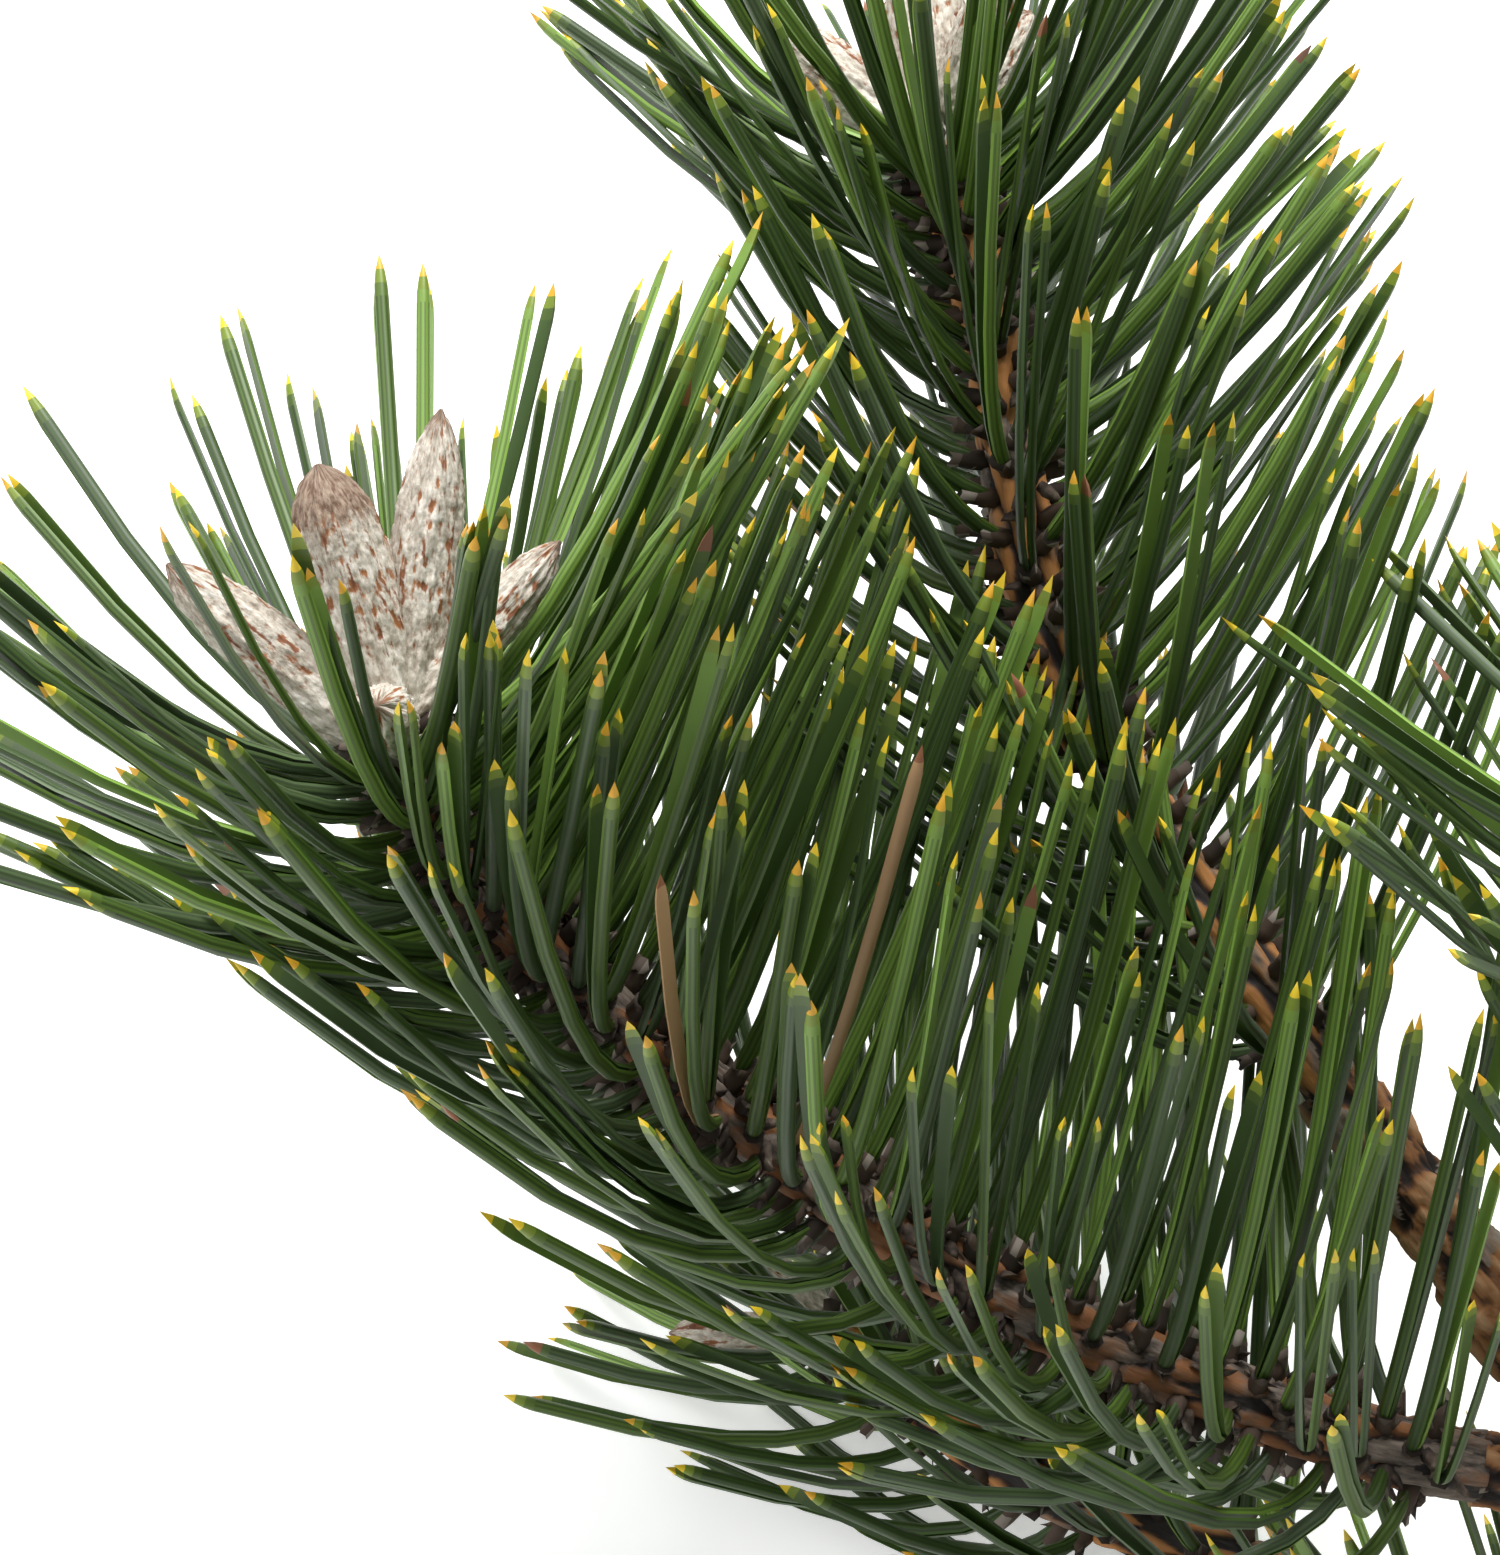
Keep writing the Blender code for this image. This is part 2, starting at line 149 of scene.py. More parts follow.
# The length and width of a cushion of young bark and a plate of old bark, and how they vary
YOUNG_CUSHION = (9.5 * MM, 2.9 * MM)
OLD_PLATE = (8.5 * MM, 4.6 * MM)
CUSHION_LENGTHS = (0.65, 1.3)
CUSHION_WIDTHS = (0.75, 1.3)
CUSHION_SLANTS = (-0.2, 0.2)
MIDDLE_TONE = 0.5
# How far past a limb's end plates hang from, and how far one strays in millimetres and radians
PLATES_PAST = 8 * MM
PLATE_STRAYS = 2.5
PLATE_TURNS = 0.5
# In how many layers old bark flakes off
LAYERS = 3
# A bud scale's length and width, how they vary, and how many square millimetres there are to one
BUD_SCALE = (6.5 * MM, 2.4 * MM)
BUD_SCALE_LENGTHS = (0.85, 1.15)
BUD_SCALE_WIDTHS = (0.85, 1.1)
BUD_SCALE_AREA = 2.1
# The sizes of the lumps in young and old bark, and of the crumbs and streaks on a bud
YOUNG_LUMPS = 1.6 * MM
OLD_LUMPS = 2.6 * MM
BUD_CRUMBS = 0.7 * MM
BUD_STREAKS = 0.9 * MM
# From this bluntness on, a bud's tip is worn, and brown over more of its length
BLUNT_TIP = 4.0
BROWN_FROM = {"pointed": 0.90, "worn": 0.74}
# How far round the shoot's tip a bud's foot moves, as a share of its radius, and at what tilt
FOOT_SHIFT = 0.75
FULL_SHIFT_TILT = 30
# Where a bough starts in the knot, how far a young stem starts inside its bough, and how far
# from the stem's tip its resin starts and is full, give or take its ragged edge
BOUGH_STARTS = 2 * MM
STEM_OVERLAP = 1.0 * MM
RESIN_STARTS = 6 * MM
RESIN_FULL = 1.5 * MM
RESIN_RAGGED = 1.5
# How much smaller the face of the cut is than the bark round it, and how many sides it has
CUT_INSET = 0.25 * MM
CUT_SIDES = 72

# What the photograph looks at, and how far back from there it was taken
VIEW_TARGET = WHORL + MM * np.array([-100.0, 69.2, 40.0])
VIEW_BACK = MM * np.array([0.0, -275.0, 476.3])

Route = namedtuple("Route", "points along")
Shoot = namedtuple("Shoot", "route bare pairs spread lean flush buds")
Bud = namedtuple("Bud", "length width tilt turn blunt")
Sheaths = namedtuple("Sheaths", "distance angle root along out leaving")
Needles = namedtuple("Needles", "lines twin lit near_tip")


def unit(vectors):
    return vectors / np.linalg.norm(vectors, axis=-1, keepdims=True)


def smooth_route(*stations):
    """A smooth curve through a few stations, given in millimetres from the whorl."""
    knots = [WHORL + MM * np.array(station, float) for station in stations]
    knots = [2 * knots[0] - knots[1], *knots, 2 * knots[-1] - knots[-2]]
    points = []
    for before, start, end, after in zip(knots, knots[1:], knots[2:], knots[3:]):
        for t in np.linspace(0, 1, ROUTE_STEPS, endpoint=False):
            swing = (2 * before - 5 * start + 4 * end - after) * t**2
            sway = (3 * start - before - 3 * end + after) * t**3
            points.append(0.5 * (2 * start + (end - before) * t + swing + sway))
    points = np.array([*points, knots[-2]])
    steps = np.linalg.norm(np.diff(points, axis=0), axis=1)
    return Route(points, np.concatenate([[0], np.cumsum(steps)]))


MAIN_STEM = smooth_route(
    (68, -76, -53), (36, -38, -40), (0, 0, 0), (-17.6, 20.5, 10.1), (-35.1, 41.9, 19.6)
)
# Each shoot's route, its needles' stand and its buds, as in the solids. pairs is how many pairs
# of needles stand on each millimetre, and the buds' lengths and widths are in millimetres
SHOOTS = {
    "a": Shoot(
        route=smooth_route(
            (0, 0, 0), (-33.6, 5, 5.2), (-72.6, 16.2, 18.6), (-103.2, 31.5, 34.4), (-124.8, 45.4, 49.4),
            (-132.9, 51.7, 57.9), (-138.2, 59.4, 67.9),
        ),
        bare=20 * MM, pairs=2.1, spread=58, lean=0.9, flush=1.0,
        buds=(
            Bud(25.0, 9.0, 11, 332, 5.0),
            Bud(24.0, 7.2, 29, 224, 3.0),
            Bud(29.0, 7.4, 33, 356, 2.8),
            Bud(21.0, 5.8, 66, 10, 3.0),
            Bud(11.0, 6.8, 59, 104, 2.6),
        ),
    ),
    "b": Shoot(
        route=smooth_route(
            (-35.1, 41.9, 19.6), (-54.5, 66.2, 31.3), (-67.3, 90.6, 43), (-72.8, 118.1, 56.6),
            (-79.6, 139.9, 66.9),
        ),
        bare=0.0, pairs=1.8, spread=54, lean=0.65, flush=0.85,
        buds=(
            Bud(24.0, 8.6, 12, 330, 3.0),
            Bud(19.0, 7.2, 38, 200, 2.8),
            Bud(17.0, 6.8, 56, 332, 2.8),
            Bud(16.0, 6.0, 44, 40, 2.8),
        ),
    ),
    "d": Shoot(
        route=smooth_route((0, 0, 0), (8.1, 10.3, 19.8), (11.2, 26.7, 45.4), (9.2, 41.9, 70.4)),
        bare=20 * MM, pairs=1.3, spread=62, lean=0.5, flush=1.0,
        buds=(
            Bud(22.0, 8.2, 5, 90, 3.0),
            Bud(17.0, 6.4, 32, 190, 2.8),
            Bud(18.0, 6.6, 30, 320, 2.8),
            Bud(14.0, 5.4, 34, 60, 2.8),
        ),
    ),
    "e": Shoot(
        route=smooth_route((20, -21, -22), (-22, -3, -35), (-62, 17.1, -42.1), (-92.1, 37.3, -36.2)),
        bare=62 * MM, pairs=1.1, spread=50, lean=0.8, flush=0.75,
        buds=(Bud(18.0, 6.8, 6, 90, 3.0), Bud(13.0, 5.2, 33, 200, 2.8)),
    ),
    "f": Shoot(
        route=smooth_route((36, -38, -40), (8, -40, -44), (-26, -40, -40)),
        bare=20 * MM, pairs=1.3, spread=58, lean=0.6, flush=0.9,
        buds=(Bud(17.0, 6.6, 8, 60, 3.0), Bud(13.0, 5.2, 33, 200, 2.8)),
    ),
    "g": Shoot(
        route=smooth_route((0, 0, 0), (22, 16, -14), (42, 36, -21), (56, 56, -19)),
        bare=22 * MM, pairs=1.3, spread=58, lean=0.5, flush=1.0,
        buds=(
            Bud(20.0, 7.4, 5, 90, 3.0),
            Bud(15.0, 5.8, 33, 190, 2.8),
            Bud(15.0, 6.0, 32, 340, 2.8),
        ),
    ),
}


def at(route, distances):
    """Points at these distances along a route, straight on past its end, and how it runs there."""
    def on_route(wanted):
        return np.stack([np.interp(wanted, route.along, axis) for axis in route.points.T], -1)

    inside = np.clip(distances, 0, route.along[-1])
    runs = unit(on_route(inside + MM) - on_route(inside - MM))
    return on_route(inside) + runs * (distances - inside)[..., None], runs


def round_frame(runs):
    """Two directions square to each run: level beside it, and over it."""
    side = unit(np.cross(runs, UP))
    return side, np.cross(side, runs)


def outward(side, over, angles):
    return np.cos(angles)[..., None] * side + np.sin(angles)[..., None] * over


def stem_radius(distances):
    """The main stem tapers from its cut to its leader, and swells where the whorl parts."""
    knot = MAIN_STEM.along[np.linalg.norm(MAIN_STEM.points - WHORL, axis=1).argmin()]
    taper = CUT_RADIUS + (LEADER_RADIUS - CUT_RADIUS) * distances / MAIN_STEM.along[-1]
    swell = (KNOT_RADIUS - taper) * np.exp(-(((distances - knot) / KNOT_SPREAD) ** 2))
    return np.maximum(taper, taper + swell)


def bough_radius(shoot, distances):
    return BOUGH_RADIUS + (SHOOT_RADIUS - BOUGH_RADIUS) * (distances / shoot.bare)


def shoot_radius(shoot, distances):
    share = (distances - shoot.bare) / (shoot.route.along[-1] - shoot.bare)
    return SHOOT_RADIUS + (SHOOT_TIP_RADIUS - SHOOT_RADIUS) * np.maximum(0, share)


# Finishes


def add_node(tree, kind, inputs, **settings):
    """A node with its settings, each input given as a value or as the socket that feeds it."""
    made = tree.nodes.new(kind)
    for setting, value in settings.items():
        setattr(made, setting, value)
    for socket, value in inputs.items():
        if isinstance(value, bpy.types.NodeSocket):
            tree.links.new(value, made.inputs[socket])
        else:
            made.inputs[socket].default_value = value
    return made


class Finish:
    """A material being made up: one Principled shader and the nodes that feed it."""

    def __init__(self, name, **sockets):
        self.material = bpy.data.materials.new(name)
        self.material.use_nodes = True
        self.tree = self.material.node_tree
        self.shader = self.tree.nodes["Principled BSDF"]
        for socket, value in sockets.items():
            self.shader.inputs[socket.replace("_", " ").title()].default_value = value

    def node(self, kind, inputs=None, **settings):
        return add_node(self.tree, "ShaderNode" + kind, inputs or {}, **settings)

    def attribute(self, name, output="Fac"):
        return self.node("Attribute", attribute_name=name).outputs[output]

    def straight(self, *scale):
        """The place on a limb as if it ran straight up, stretched to suit a grain."""
        place = self.attribute("straight", "Vector")
        return self.node("Mapping", {"Vector": place, "Scale": scale}).outputs[0]

    def noise(self, vector, scale, detail=4.0):
        """Noise over a place in metres: a scale of 1000 makes lumps of about a millimetre."""
        settings = {"Vector": vector, "Scale": scale, "Detail": detail, "Roughness": 0.6}
        return self.node("TexNoise", settings).outputs[0]

    def ramp(self, value, *stops):
        """Colours by value, from pairs of a position and a colour."""
        made = self.node("ValToRGB", {0: value})
        elements = made.color_ramp.elements
        while len(elements) < len(stops):
            elements.new(0.5)
        for element, (position, colour) in zip(elements, stops):
            element.position = position
            element.color = (*colour, 1.0)
        return made.outputs[0]

    def between(self, value, low, high):
        """Turns a value from low to high into a share from 0 to 1."""
        made = self.node("MapRange", {"Value": value, "From Min": low, "From Max": high})
        return made.outputs[0]

    def math(self, operation, first, second):
        return self.node("Math", {0: first, 1: second}, operation=operation).outputs[0]

    def plus(self, first, share, second):
        """The first value and a share of the second."""
        return self.math("ADD", first, self.math("MULTIPLY", second, share))

    def mix(self, share, first, second):
        return self.node("Mix", {0: share, 6: first, 7: second}, data_type="RGBA").outputs[2]

    def done(self, colour, height=None, depth=0.0, strength=0.0):
        """The material in this colour, with a fine grain on it where a height is given."""
        self.tree.links.new(colour, self.shader.inputs["Base Color"])
        if height:
            bump = self.node("Bump", {"Height": height, "Distance": depth, "Strength": strength})
            self.tree.links.new(bump.outputs[0], self.shader.inputs["Normal"])
        return self.material


def plain(name, colour, roughness, **sockets):
    return Finish(name, base_color=(*colour, 1.0), roughness=roughness, **sockets).material


def young_bark(name, crest, papery):
    """Cushions of orange-brown bark between dark furrows, under remains of papery scales.

    papery is the tone from which paper covers the bark."""
    made = Finish(name, roughness=0.7)
    lengthwise = made.noise(made.straight(1, 1, 0.22), 1500)
    patches = made.noise(made.straight(1, 1, 0.5), 330)
    ridge = made.plus(made.attribute("ridge"), 0.35, lengthwise)
    bark = made.ramp(
        made.math("SUBTRACT", ridge, 0.17),
        (0.06, (0.012, 0.007, 0.005)),
        (0.30, (0.075, 0.030, 0.013)),
        (0.62, crest),
        (1.0, tuple(1.5 * part for part in crest)),
    )
    paper = made.ramp(lengthwise, (0.3, (0.055, 0.040, 0.031)), (0.7, (0.27, 0.215, 0.17)))
    tone = made.math("ADD", patches, made.attribute("tone"))
    amount = made.between(tone, papery, papery + 0.25)
    resin = made.between(made.attribute("crust"), 0.3, 0.8)
    colour = made.mix(amount, bark, paper)
    return made.done(made.mix(resin, colour, (0.50, 0.46, 0.42, 1.0)), lengthwise, 0.25 * MM, 0.7)


def old_bark(name):
    """Flaky plates from pale tan to orange-brown, dark in the cracks and grey where weathered."""
    made = Finish(name, roughness=0.85)
    lengthwise = made.noise(made.straight(1, 1, 0.3), 900, 6.0)
    patches = made.noise(made.straight(1, 1, 0.45), 170)
    ridge = made.plus(made.attribute("ridge"), 0.4, lengthwise)
    plates = made.ramp(
        made.math("SUBTRACT", ridge, 0.2),
        (0.12, (0.012, 0.007, 0.005)),
        (0.34, (0.075, 0.033, 0.016)),
        (0.58, (0.29, 0.125, 0.042)),
        (0.95, (0.44, 0.25, 0.12)),
    )
    weathered = made.ramp(lengthwise, (0.25, (0.10, 0.075, 0.06)), (0.75, (0.43, 0.36, 0.29)))
    tone = made.math("ADD", patches, made.attribute("tone"))
    amount = made.between(tone, 1.28, 1.5)
    return made.done(made.mix(amount, plates, weathered), lengthwise, 0.35 * MM, 0.8)


def cut_wood(name):
    """The fresh cut: pale wood in yearly rings round a dark pith, inside the bark."""
    made = Finish(name, roughness=0.75)
    share = made.attribute("ring")
    fibres = made.noise(made.straight(1, 1, 1), 700)
    rings = made.math("SINE", made.math("MULTIPLY", share, 5 * TURN), 0.0)
    wood = made.ramp(
        made.plus(fibres, 0.3, rings),
        (0.2, (0.36, 0.23, 0.11)),
        (0.8, (0.66, 0.50, 0.29)),
    )
    rim = made.between(share, 0.80, 0.86)
    return made.done(made.mix(rim, wood, (0.10, 0.045, 0.022, 1.0)), fibres, 0.15 * MM, 0.5)


def resinous_scales(name):
    """Rust-brown bud scales that show in lengthwise dashes through a whitish crust of resin."""
    made = Finish(name, roughness=0.72)
    dashes = made.noise(made.straight(1, 1, 0.11), 1500, 3.0)
    crumbs = made.noise(made.straight(1, 1, 0.45), 2400, 3.0)
    blotches = made.noise(made.straight(1, 1, 0.5), 260, 2.0)
    scale = made.ramp(dashes, (0.3, (0.15, 0.045, 0.018)), (0.7, (0.46, 0.19, 0.06)))
    crust = made.ramp(
        made.plus(made.math("MULTIPLY", crumbs, 0.6), 0.4, blotches),
        (0.34, (0.27, 0.22, 0.17)),
        (0.50, (0.55, 0.49, 0.41)),
        (0.66, (0.78, 0.74, 0.67)),
    )
    cover = made.plus(made.plus(made.attribute("crust"), 1.6, dashes), 0.5, crumbs)
    body = made.mix(made.between(cover, 1.16, 1.40), scale, crust)
    tip = made.mix(made.between(crumbs, 0.35, 0.65), (0.13, 0.065, 0.035, 1), (0.36, 0.27, 0.20, 1))
    return made.done(made.mix(made.attribute("tip"), body, tip), crumbs, 0.25 * MM, 0.8)


# Meshes


def new_piece(name, vertices, faces, finishes, slots=None, sharp=None, attributes=None):
    """A smooth-shaded mesh object from arrays. attributes hold a number or a vector for each point."""
    mesh = bpy.data.meshes.new(name)
    mesh.from_pydata(np.asarray(vertices).tolist(), [], faces)
    for finish in finishes:
        mesh.materials.append(finish)
    if slots is not None:
        mesh.polygons.foreach_set("material_index", np.asarray(slots, np.int32))
    for title, values in (attributes or {}).items():
        vector = np.ndim(values) == 2
        layer = mesh.attributes.new(title, "FLOAT_VECTOR" if vector else "FLOAT", "POINT")
        layer.data.foreach_set("vector" if vector else "value", np.asarray(values, np.float32).ravel())
    mesh.shade_smooth()
    if sharp:
        mesh.set_sharp_from_angle(angle=math.radians(sharp))
    made = bpy.data.objects.new(name, mesh)
    bpy.context.scene.collection.objects.link(made)
    return made


def dress(piece, slot, *nodes):
    """The piece rides with the branch and stands for these solids."""
    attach(piece, "root")
    if nodes:
        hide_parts(*nodes)


def tube_faces(rings, sides):
    """The quads of a tube whose points run round each ring in turn."""
    low = np.arange((rings - 1) * sides).reshape(rings - 1, sides)
    high = low + sides
    return np.stack([low, high, np.roll(high, -1, 1), np.roll(low, -1, 1)], -1).reshape(-1, 4)


def many(faces, copies, points):
    """The same faces for each of many copies of a shape with this many points."""
    faces = np.asarray(faces)
    return (faces[None] + points * np.arange(copies)[:, None, None]).reshape(-1, faces.shape[1])


def spike_faces(rings, sides, copies=1):
    """The faces of tubes that each run to one last point: their walls, their points, their ends."""
    points = rings * sides + 1
    around = np.arange(sides)
    last = (rings - 1) * sides
    cap = np.stack([last + around, np.full(sides, points - 1), last + np.roll(around, -1)], -1)
    walls = many(tube_faces(rings, sides), copies, points)
    caps = many(cap, copies, points)
    ends = many(around[None], copies, points)
    return walls.tolist() + caps.tolist() + ends.tolist()


def even_angles(sides):
    """The angles of this many points, evenly round a limb."""
    return TURN * np.arange(sides) / sides


def dress_skin(name, rings, values, finish, slot, *nodes):
    """A closed mesh through rings of points, drawn together to a pole at each end."""
    rows, sides, _ = rings.shape
    vertices = np.vstack([rings.reshape(-1, 3), rings[0].mean(0), rings[-1].mean(0)])
    around = np.arange(sides)
    turned = np.roll(around, -1)
    last = (rows - 1) * sides
    pole = np.full(sides, rows * sides)
    start_cap = np.stack([around, turned, pole], -1)
    end_cap = np.stack([last + turned, last + around, pole + 1], -1)
    faces = tube_faces(rows, sides).tolist() + start_cap.tolist() + end_cap.tolist()
    attributes = {}
    for title, value in values.items():
        flat = value.reshape(rows * sides, -1)
        ends = flat[:sides].mean(0), flat[-sides:].mean(0)
        attributes[title] = np.vstack([flat, *ends]).squeeze()
    dress(new_piece(name, vertices, faces, [finish], attributes=attributes), slot, *nodes)


def grain(points, size, octaves=3):
    """Seeded noise at each point, from about -1 to 1, for lumps of this size."""
    flat = (points / size).reshape(-1, 3)
    values = [noise.fractal(Vector(point), 0.8, 2.1, octaves) for point in flat]
    return np.array(values).reshape(points.shape[:-1])


def below(distances, angles, radii, distance, angle, length):
    """The part of a grid that lies within a length below one spot of it.

    Returns its rows, what share of the length each is down, and how far each point is across."""
    down = (distance - distances) / length
    rows = np.flatnonzero((down > 0) & (down < 1))
    turn = (angles - angle + math.pi) % TURN - math.pi
    return rows, down[rows][:, None], turn * radii[rows][:, None]


def cushions(distances, angles, radii, anchors, length, width, seed, roundness=0.5):
    """The cushions of bark that run down a limb from where its sheaths stand, or stood.

    Each is widest a third of the way down, steep at its head and thin at its foot. A low
    roundness gives it a flat top. Returns, over a grid of distances and angles, how high each
    point of the bark stands, from 0 to 1, and the tone of its cushion."""
    draw = np.random.default_rng(seed)
    height = np.zeros((len(distances), len(angles)))
    tone = np.full(height.shape, MIDDLE_TONE)
    for distance, angle in zip(*anchors):
        own_length = length * draw.uniform(*CUSHION_LENGTHS)
        own_width = width * draw.uniform(*CUSHION_WIDTHS)
        own_tone = draw.random()
        slant = draw.uniform(*CUSHION_SLANTS)
        rows, down, across = below(distances, angles, radii, distance, angle, own_length)
        across = across - slant * down * own_length
        outline = np.sin(math.pi * down**0.62) + 0.02
        lens = np.clip(1 - (2 * across / (own_width * outline)) ** 2, 0, 1)
        lens = lens**roundness * np.minimum(1, 6 * down) * (1 - 0.55 * down)
        higher = lens > height[rows]
        height[rows] = np.where(higher, lens, height[rows])
        tone[rows] = np.where(higher, own_tone, tone[rows])
    return height, tone


def smooth_step(values, low, high):
    share = np.clip((values - low) / (high - low), 0, 1)
    return share * share * (3 - 2 * share)


# Needles


def sheaths_of(key):
    """Where one shoot's sheaths stand, wound round it by the golden angle."""
    shoot = SHOOTS[key]
    draw = np.random.default_rng(SEED + ord(key))
    end = shoot.route.along[-1]
    first = shoot.bare + BARE_FOOT
    count = round((end - first) / MM * shoot.pairs)
    share = (np.arange(count) + 0.5) / count
    distance = first + (end - first) * (share + CROWDING * share * (1 - share))
    centre, along = at(shoot.route, distance)
    angle = np.arange(count) * GOLDEN_ANGLE + draw.uniform(-TURN_VARIES, TURN_VARIES, count)
    out = outward(*round_frame(along), angle)
    root = centre + out * (shoot_radius(shoot, distance) - NEEDLE_SINK)[:, None]
    leaving = unit(out * math.sin(LEAVING_ANGLE) + along * math.cos(LEAVING_ANGLE))
    return Sheaths(distance, angle, root, along, out, leaving)


def round_sheaths(sheaths):
    """Two directions square to each sheath."""
    beside = unit(np.cross(sheaths.leaving, sheaths.along))
    return beside, np.cross(sheaths.leaving, beside)


def needle_lines(sheaths, length, spread, lean, twin, gape):
    """Needles leave their shoot almost square, then bend towards the shoot's tip and the light."""
    ending = sheaths.out * np.sin(spread) + sheaths.along * np.cos(spread) + LIGHT * lean
    ending = unit(unit(ending) + twin * np.tan(gape))
    root = sheaths.root + twin * PAIR_GAP
    knee = root + sheaths.leaving * length * NEEDLE_BEND
    tip = knee + ending * length * (1 - NEEDLE_BEND)
    share = np.linspace(0, 1, NEEDLE_STEPS + 1)[None, :, None]
    curve = (1 - share) ** 2 * root[:, None] + 2 * share * (1 - share) * knee[:, None]
    return curve + share**2 * tip[:, None]


def lay_on_floor(lines, along):
    """Turns needles that reach the floor, so that the rest of each runs out along the floor."""
    laid = lines.copy()
    for step in range(1, lines.shape[1]):
        move = lines[:, step] - lines[:, step - 1]
        reached = laid[:, step - 1] + move
        level = unit((move + along * FLOOR_DRIFT) * (1, 1, 0))
        drop = np.minimum(0, FLOOR_HEIGHT - laid[:, step - 1, 2])
        sideways = np.sqrt(np.maximum(0, (move**2).sum(-1) - drop**2))
        turned = laid[:, step - 1] + level * sideways[:, None]
        turned[:, 2] = FLOOR_HEIGHT
        low = reached[:, 2] < FLOOR_HEIGHT
        laid[:, step] = np.where(low[:, None], turned, reached)
    return laid


def bud_axis(shoot, bud):
    """The two ends of a bud's axis: it stands on the rounded tip of its shoot, tilted and turned."""
    end, along = at(shoot.route, shoot.route.along[-1:])
    turn, tilt = math.radians(bud.turn), math.radians(bud.tilt)
    lean = outward(*round_frame(along), np.array([turn]))[0]
    run = unit(along[0] * math.cos(tilt) + lean * math.sin(tilt))
    foot = end[0] + lean * SHOOT_TIP_RADIUS * min(FOOT_SHIFT, bud.tilt / FULL_SHIFT_TILT)
    return foot, foot + run * (bud.length * MM + SHOOT_TIP_RADIUS)


def nearest(lines, axis):
    """How near each needle comes to an axis."""
    gaps = lines[:, :, None] - axis[None, None]
    return np.sqrt((gaps**2).sum(-1).min(axis=(1, 2)))


def keeps_clear(lines, key):
    """True for each needle that touches no limb, no other shoot's stem and no bud."""
    free = lines[:, round(FREE_SHARE * NEEDLE_STEPS):]
    tested = lines if SHOOTS[key].bare else free
    clear = nearest(tested, MAIN_STEM.points[::ROUTE_STRIDE]) > KNOT_RADIUS + TOUCH_MARGIN
    for other, shoot in SHOOTS.items():
        bare = shoot.route.points[shoot.route.along < shoot.bare][::ROUTE_STRIDE]
        axis = bare if other == key else shoot.route.points[::ROUTE_STRIDE]
        if len(axis):
            tested = free if other == key else lines
            clear &= nearest(tested, axis) > BOUGH_RADIUS + TOUCH_MARGIN
    for bud in SHOOTS[key].buds:
        axis = np.linspace(*bud_axis(SHOOTS[key], bud), BUD_TESTS)
        clear &= nearest(lines, axis) > bud.width * MM / 2 + BUD_MARGIN
    low, high = SOLIDS_BOX
    reach = SAME_REACH * (high - low)
    clear &= (lines > low - reach).all(axis=(1, 2)) & (lines < high + reach).all(axis=(1, 2))
    return clear


def grow_needles(key, sheaths):
    """One shoot's needles, two to a sheath: their lines and which way their round sides face.

    Also how far each stands towards the light, and how near to the shoot's tip."""
    shoot = SHOOTS[key]
    draw = np.random.default_rng(SEED + 2 * ord(key))
    count = len(sheaths.distance)
    varied = draw.uniform(-1, 1, (count, 1))
    length = NEEDLE_LENGTH * shoot.flush * (1 + NEEDLE_VARIES * varied) + NEEDLE_SINK
    to_tip = shoot.route.along[-1] - sheaths.distance
    near_tip = np.maximum(0, 1 - to_tip / TIP_STRETCH)[:, None]
    fan = np.maximum(0, 1 - to_tip / FAN_STRETCH)[:, None]
    lean = shoot.lean * (1 - FAN_EVENS * fan)
    spread = math.radians(shoot.spread) * (1 - TIP_CLOSING * near_tip * draw.random((count, 1)))
    spread = spread + draw.uniform(-SPREAD_VARIES, SPREAD_VARIES, (count, 1))
    twin = outward(*round_sheaths(sheaths), draw.uniform(0, TURN, count))
    lines, twins, owners = [], [], []
    for sign in (1, -1):
        gape = np.radians(draw.uniform(*GAPE, (count, 1)))
        own_length = length * draw.uniform(*TWIN_LENGTHS, (count, 1))
        waiting = np.arange(count)
        for spread_share, lean_share in TRIES:
            part = Sheaths(*(field[waiting] for field in sheaths))
            facing = sign * twin[waiting]
            own_spread = spread[waiting] * spread_share
            own_lean = lean[waiting] * lean_share
            tried = needle_lines(part, own_length[waiting], own_spread, own_lean, facing, gape[waiting])
            tried = lay_on_floor(tried, part.along)
            clear = keeps_clear(tried, key)
            lines.append(tried[clear])
            twins.append(facing[clear])
            owners.append(waiting[clear])
            waiting = waiting[~clear]
    owners = np.concatenate(owners)
    lit = (sheaths.out[owners] * unit(LIGHT)).sum(-1)
    return Needles(np.concatenate(lines), np.concatenate(twins), lit, fan[owners, 0])


# A needle's faces go by strip and by ring to these colours, in this order within each green
STRIPS = ("margin", "line", "body", "line", "body", "line", "body", "line", "margin", "inner", "inner")
SHADES = {"margin": 1.45, "line": 0.68, "body": 1.15, "inner": 1.12, "paling": 1.1}
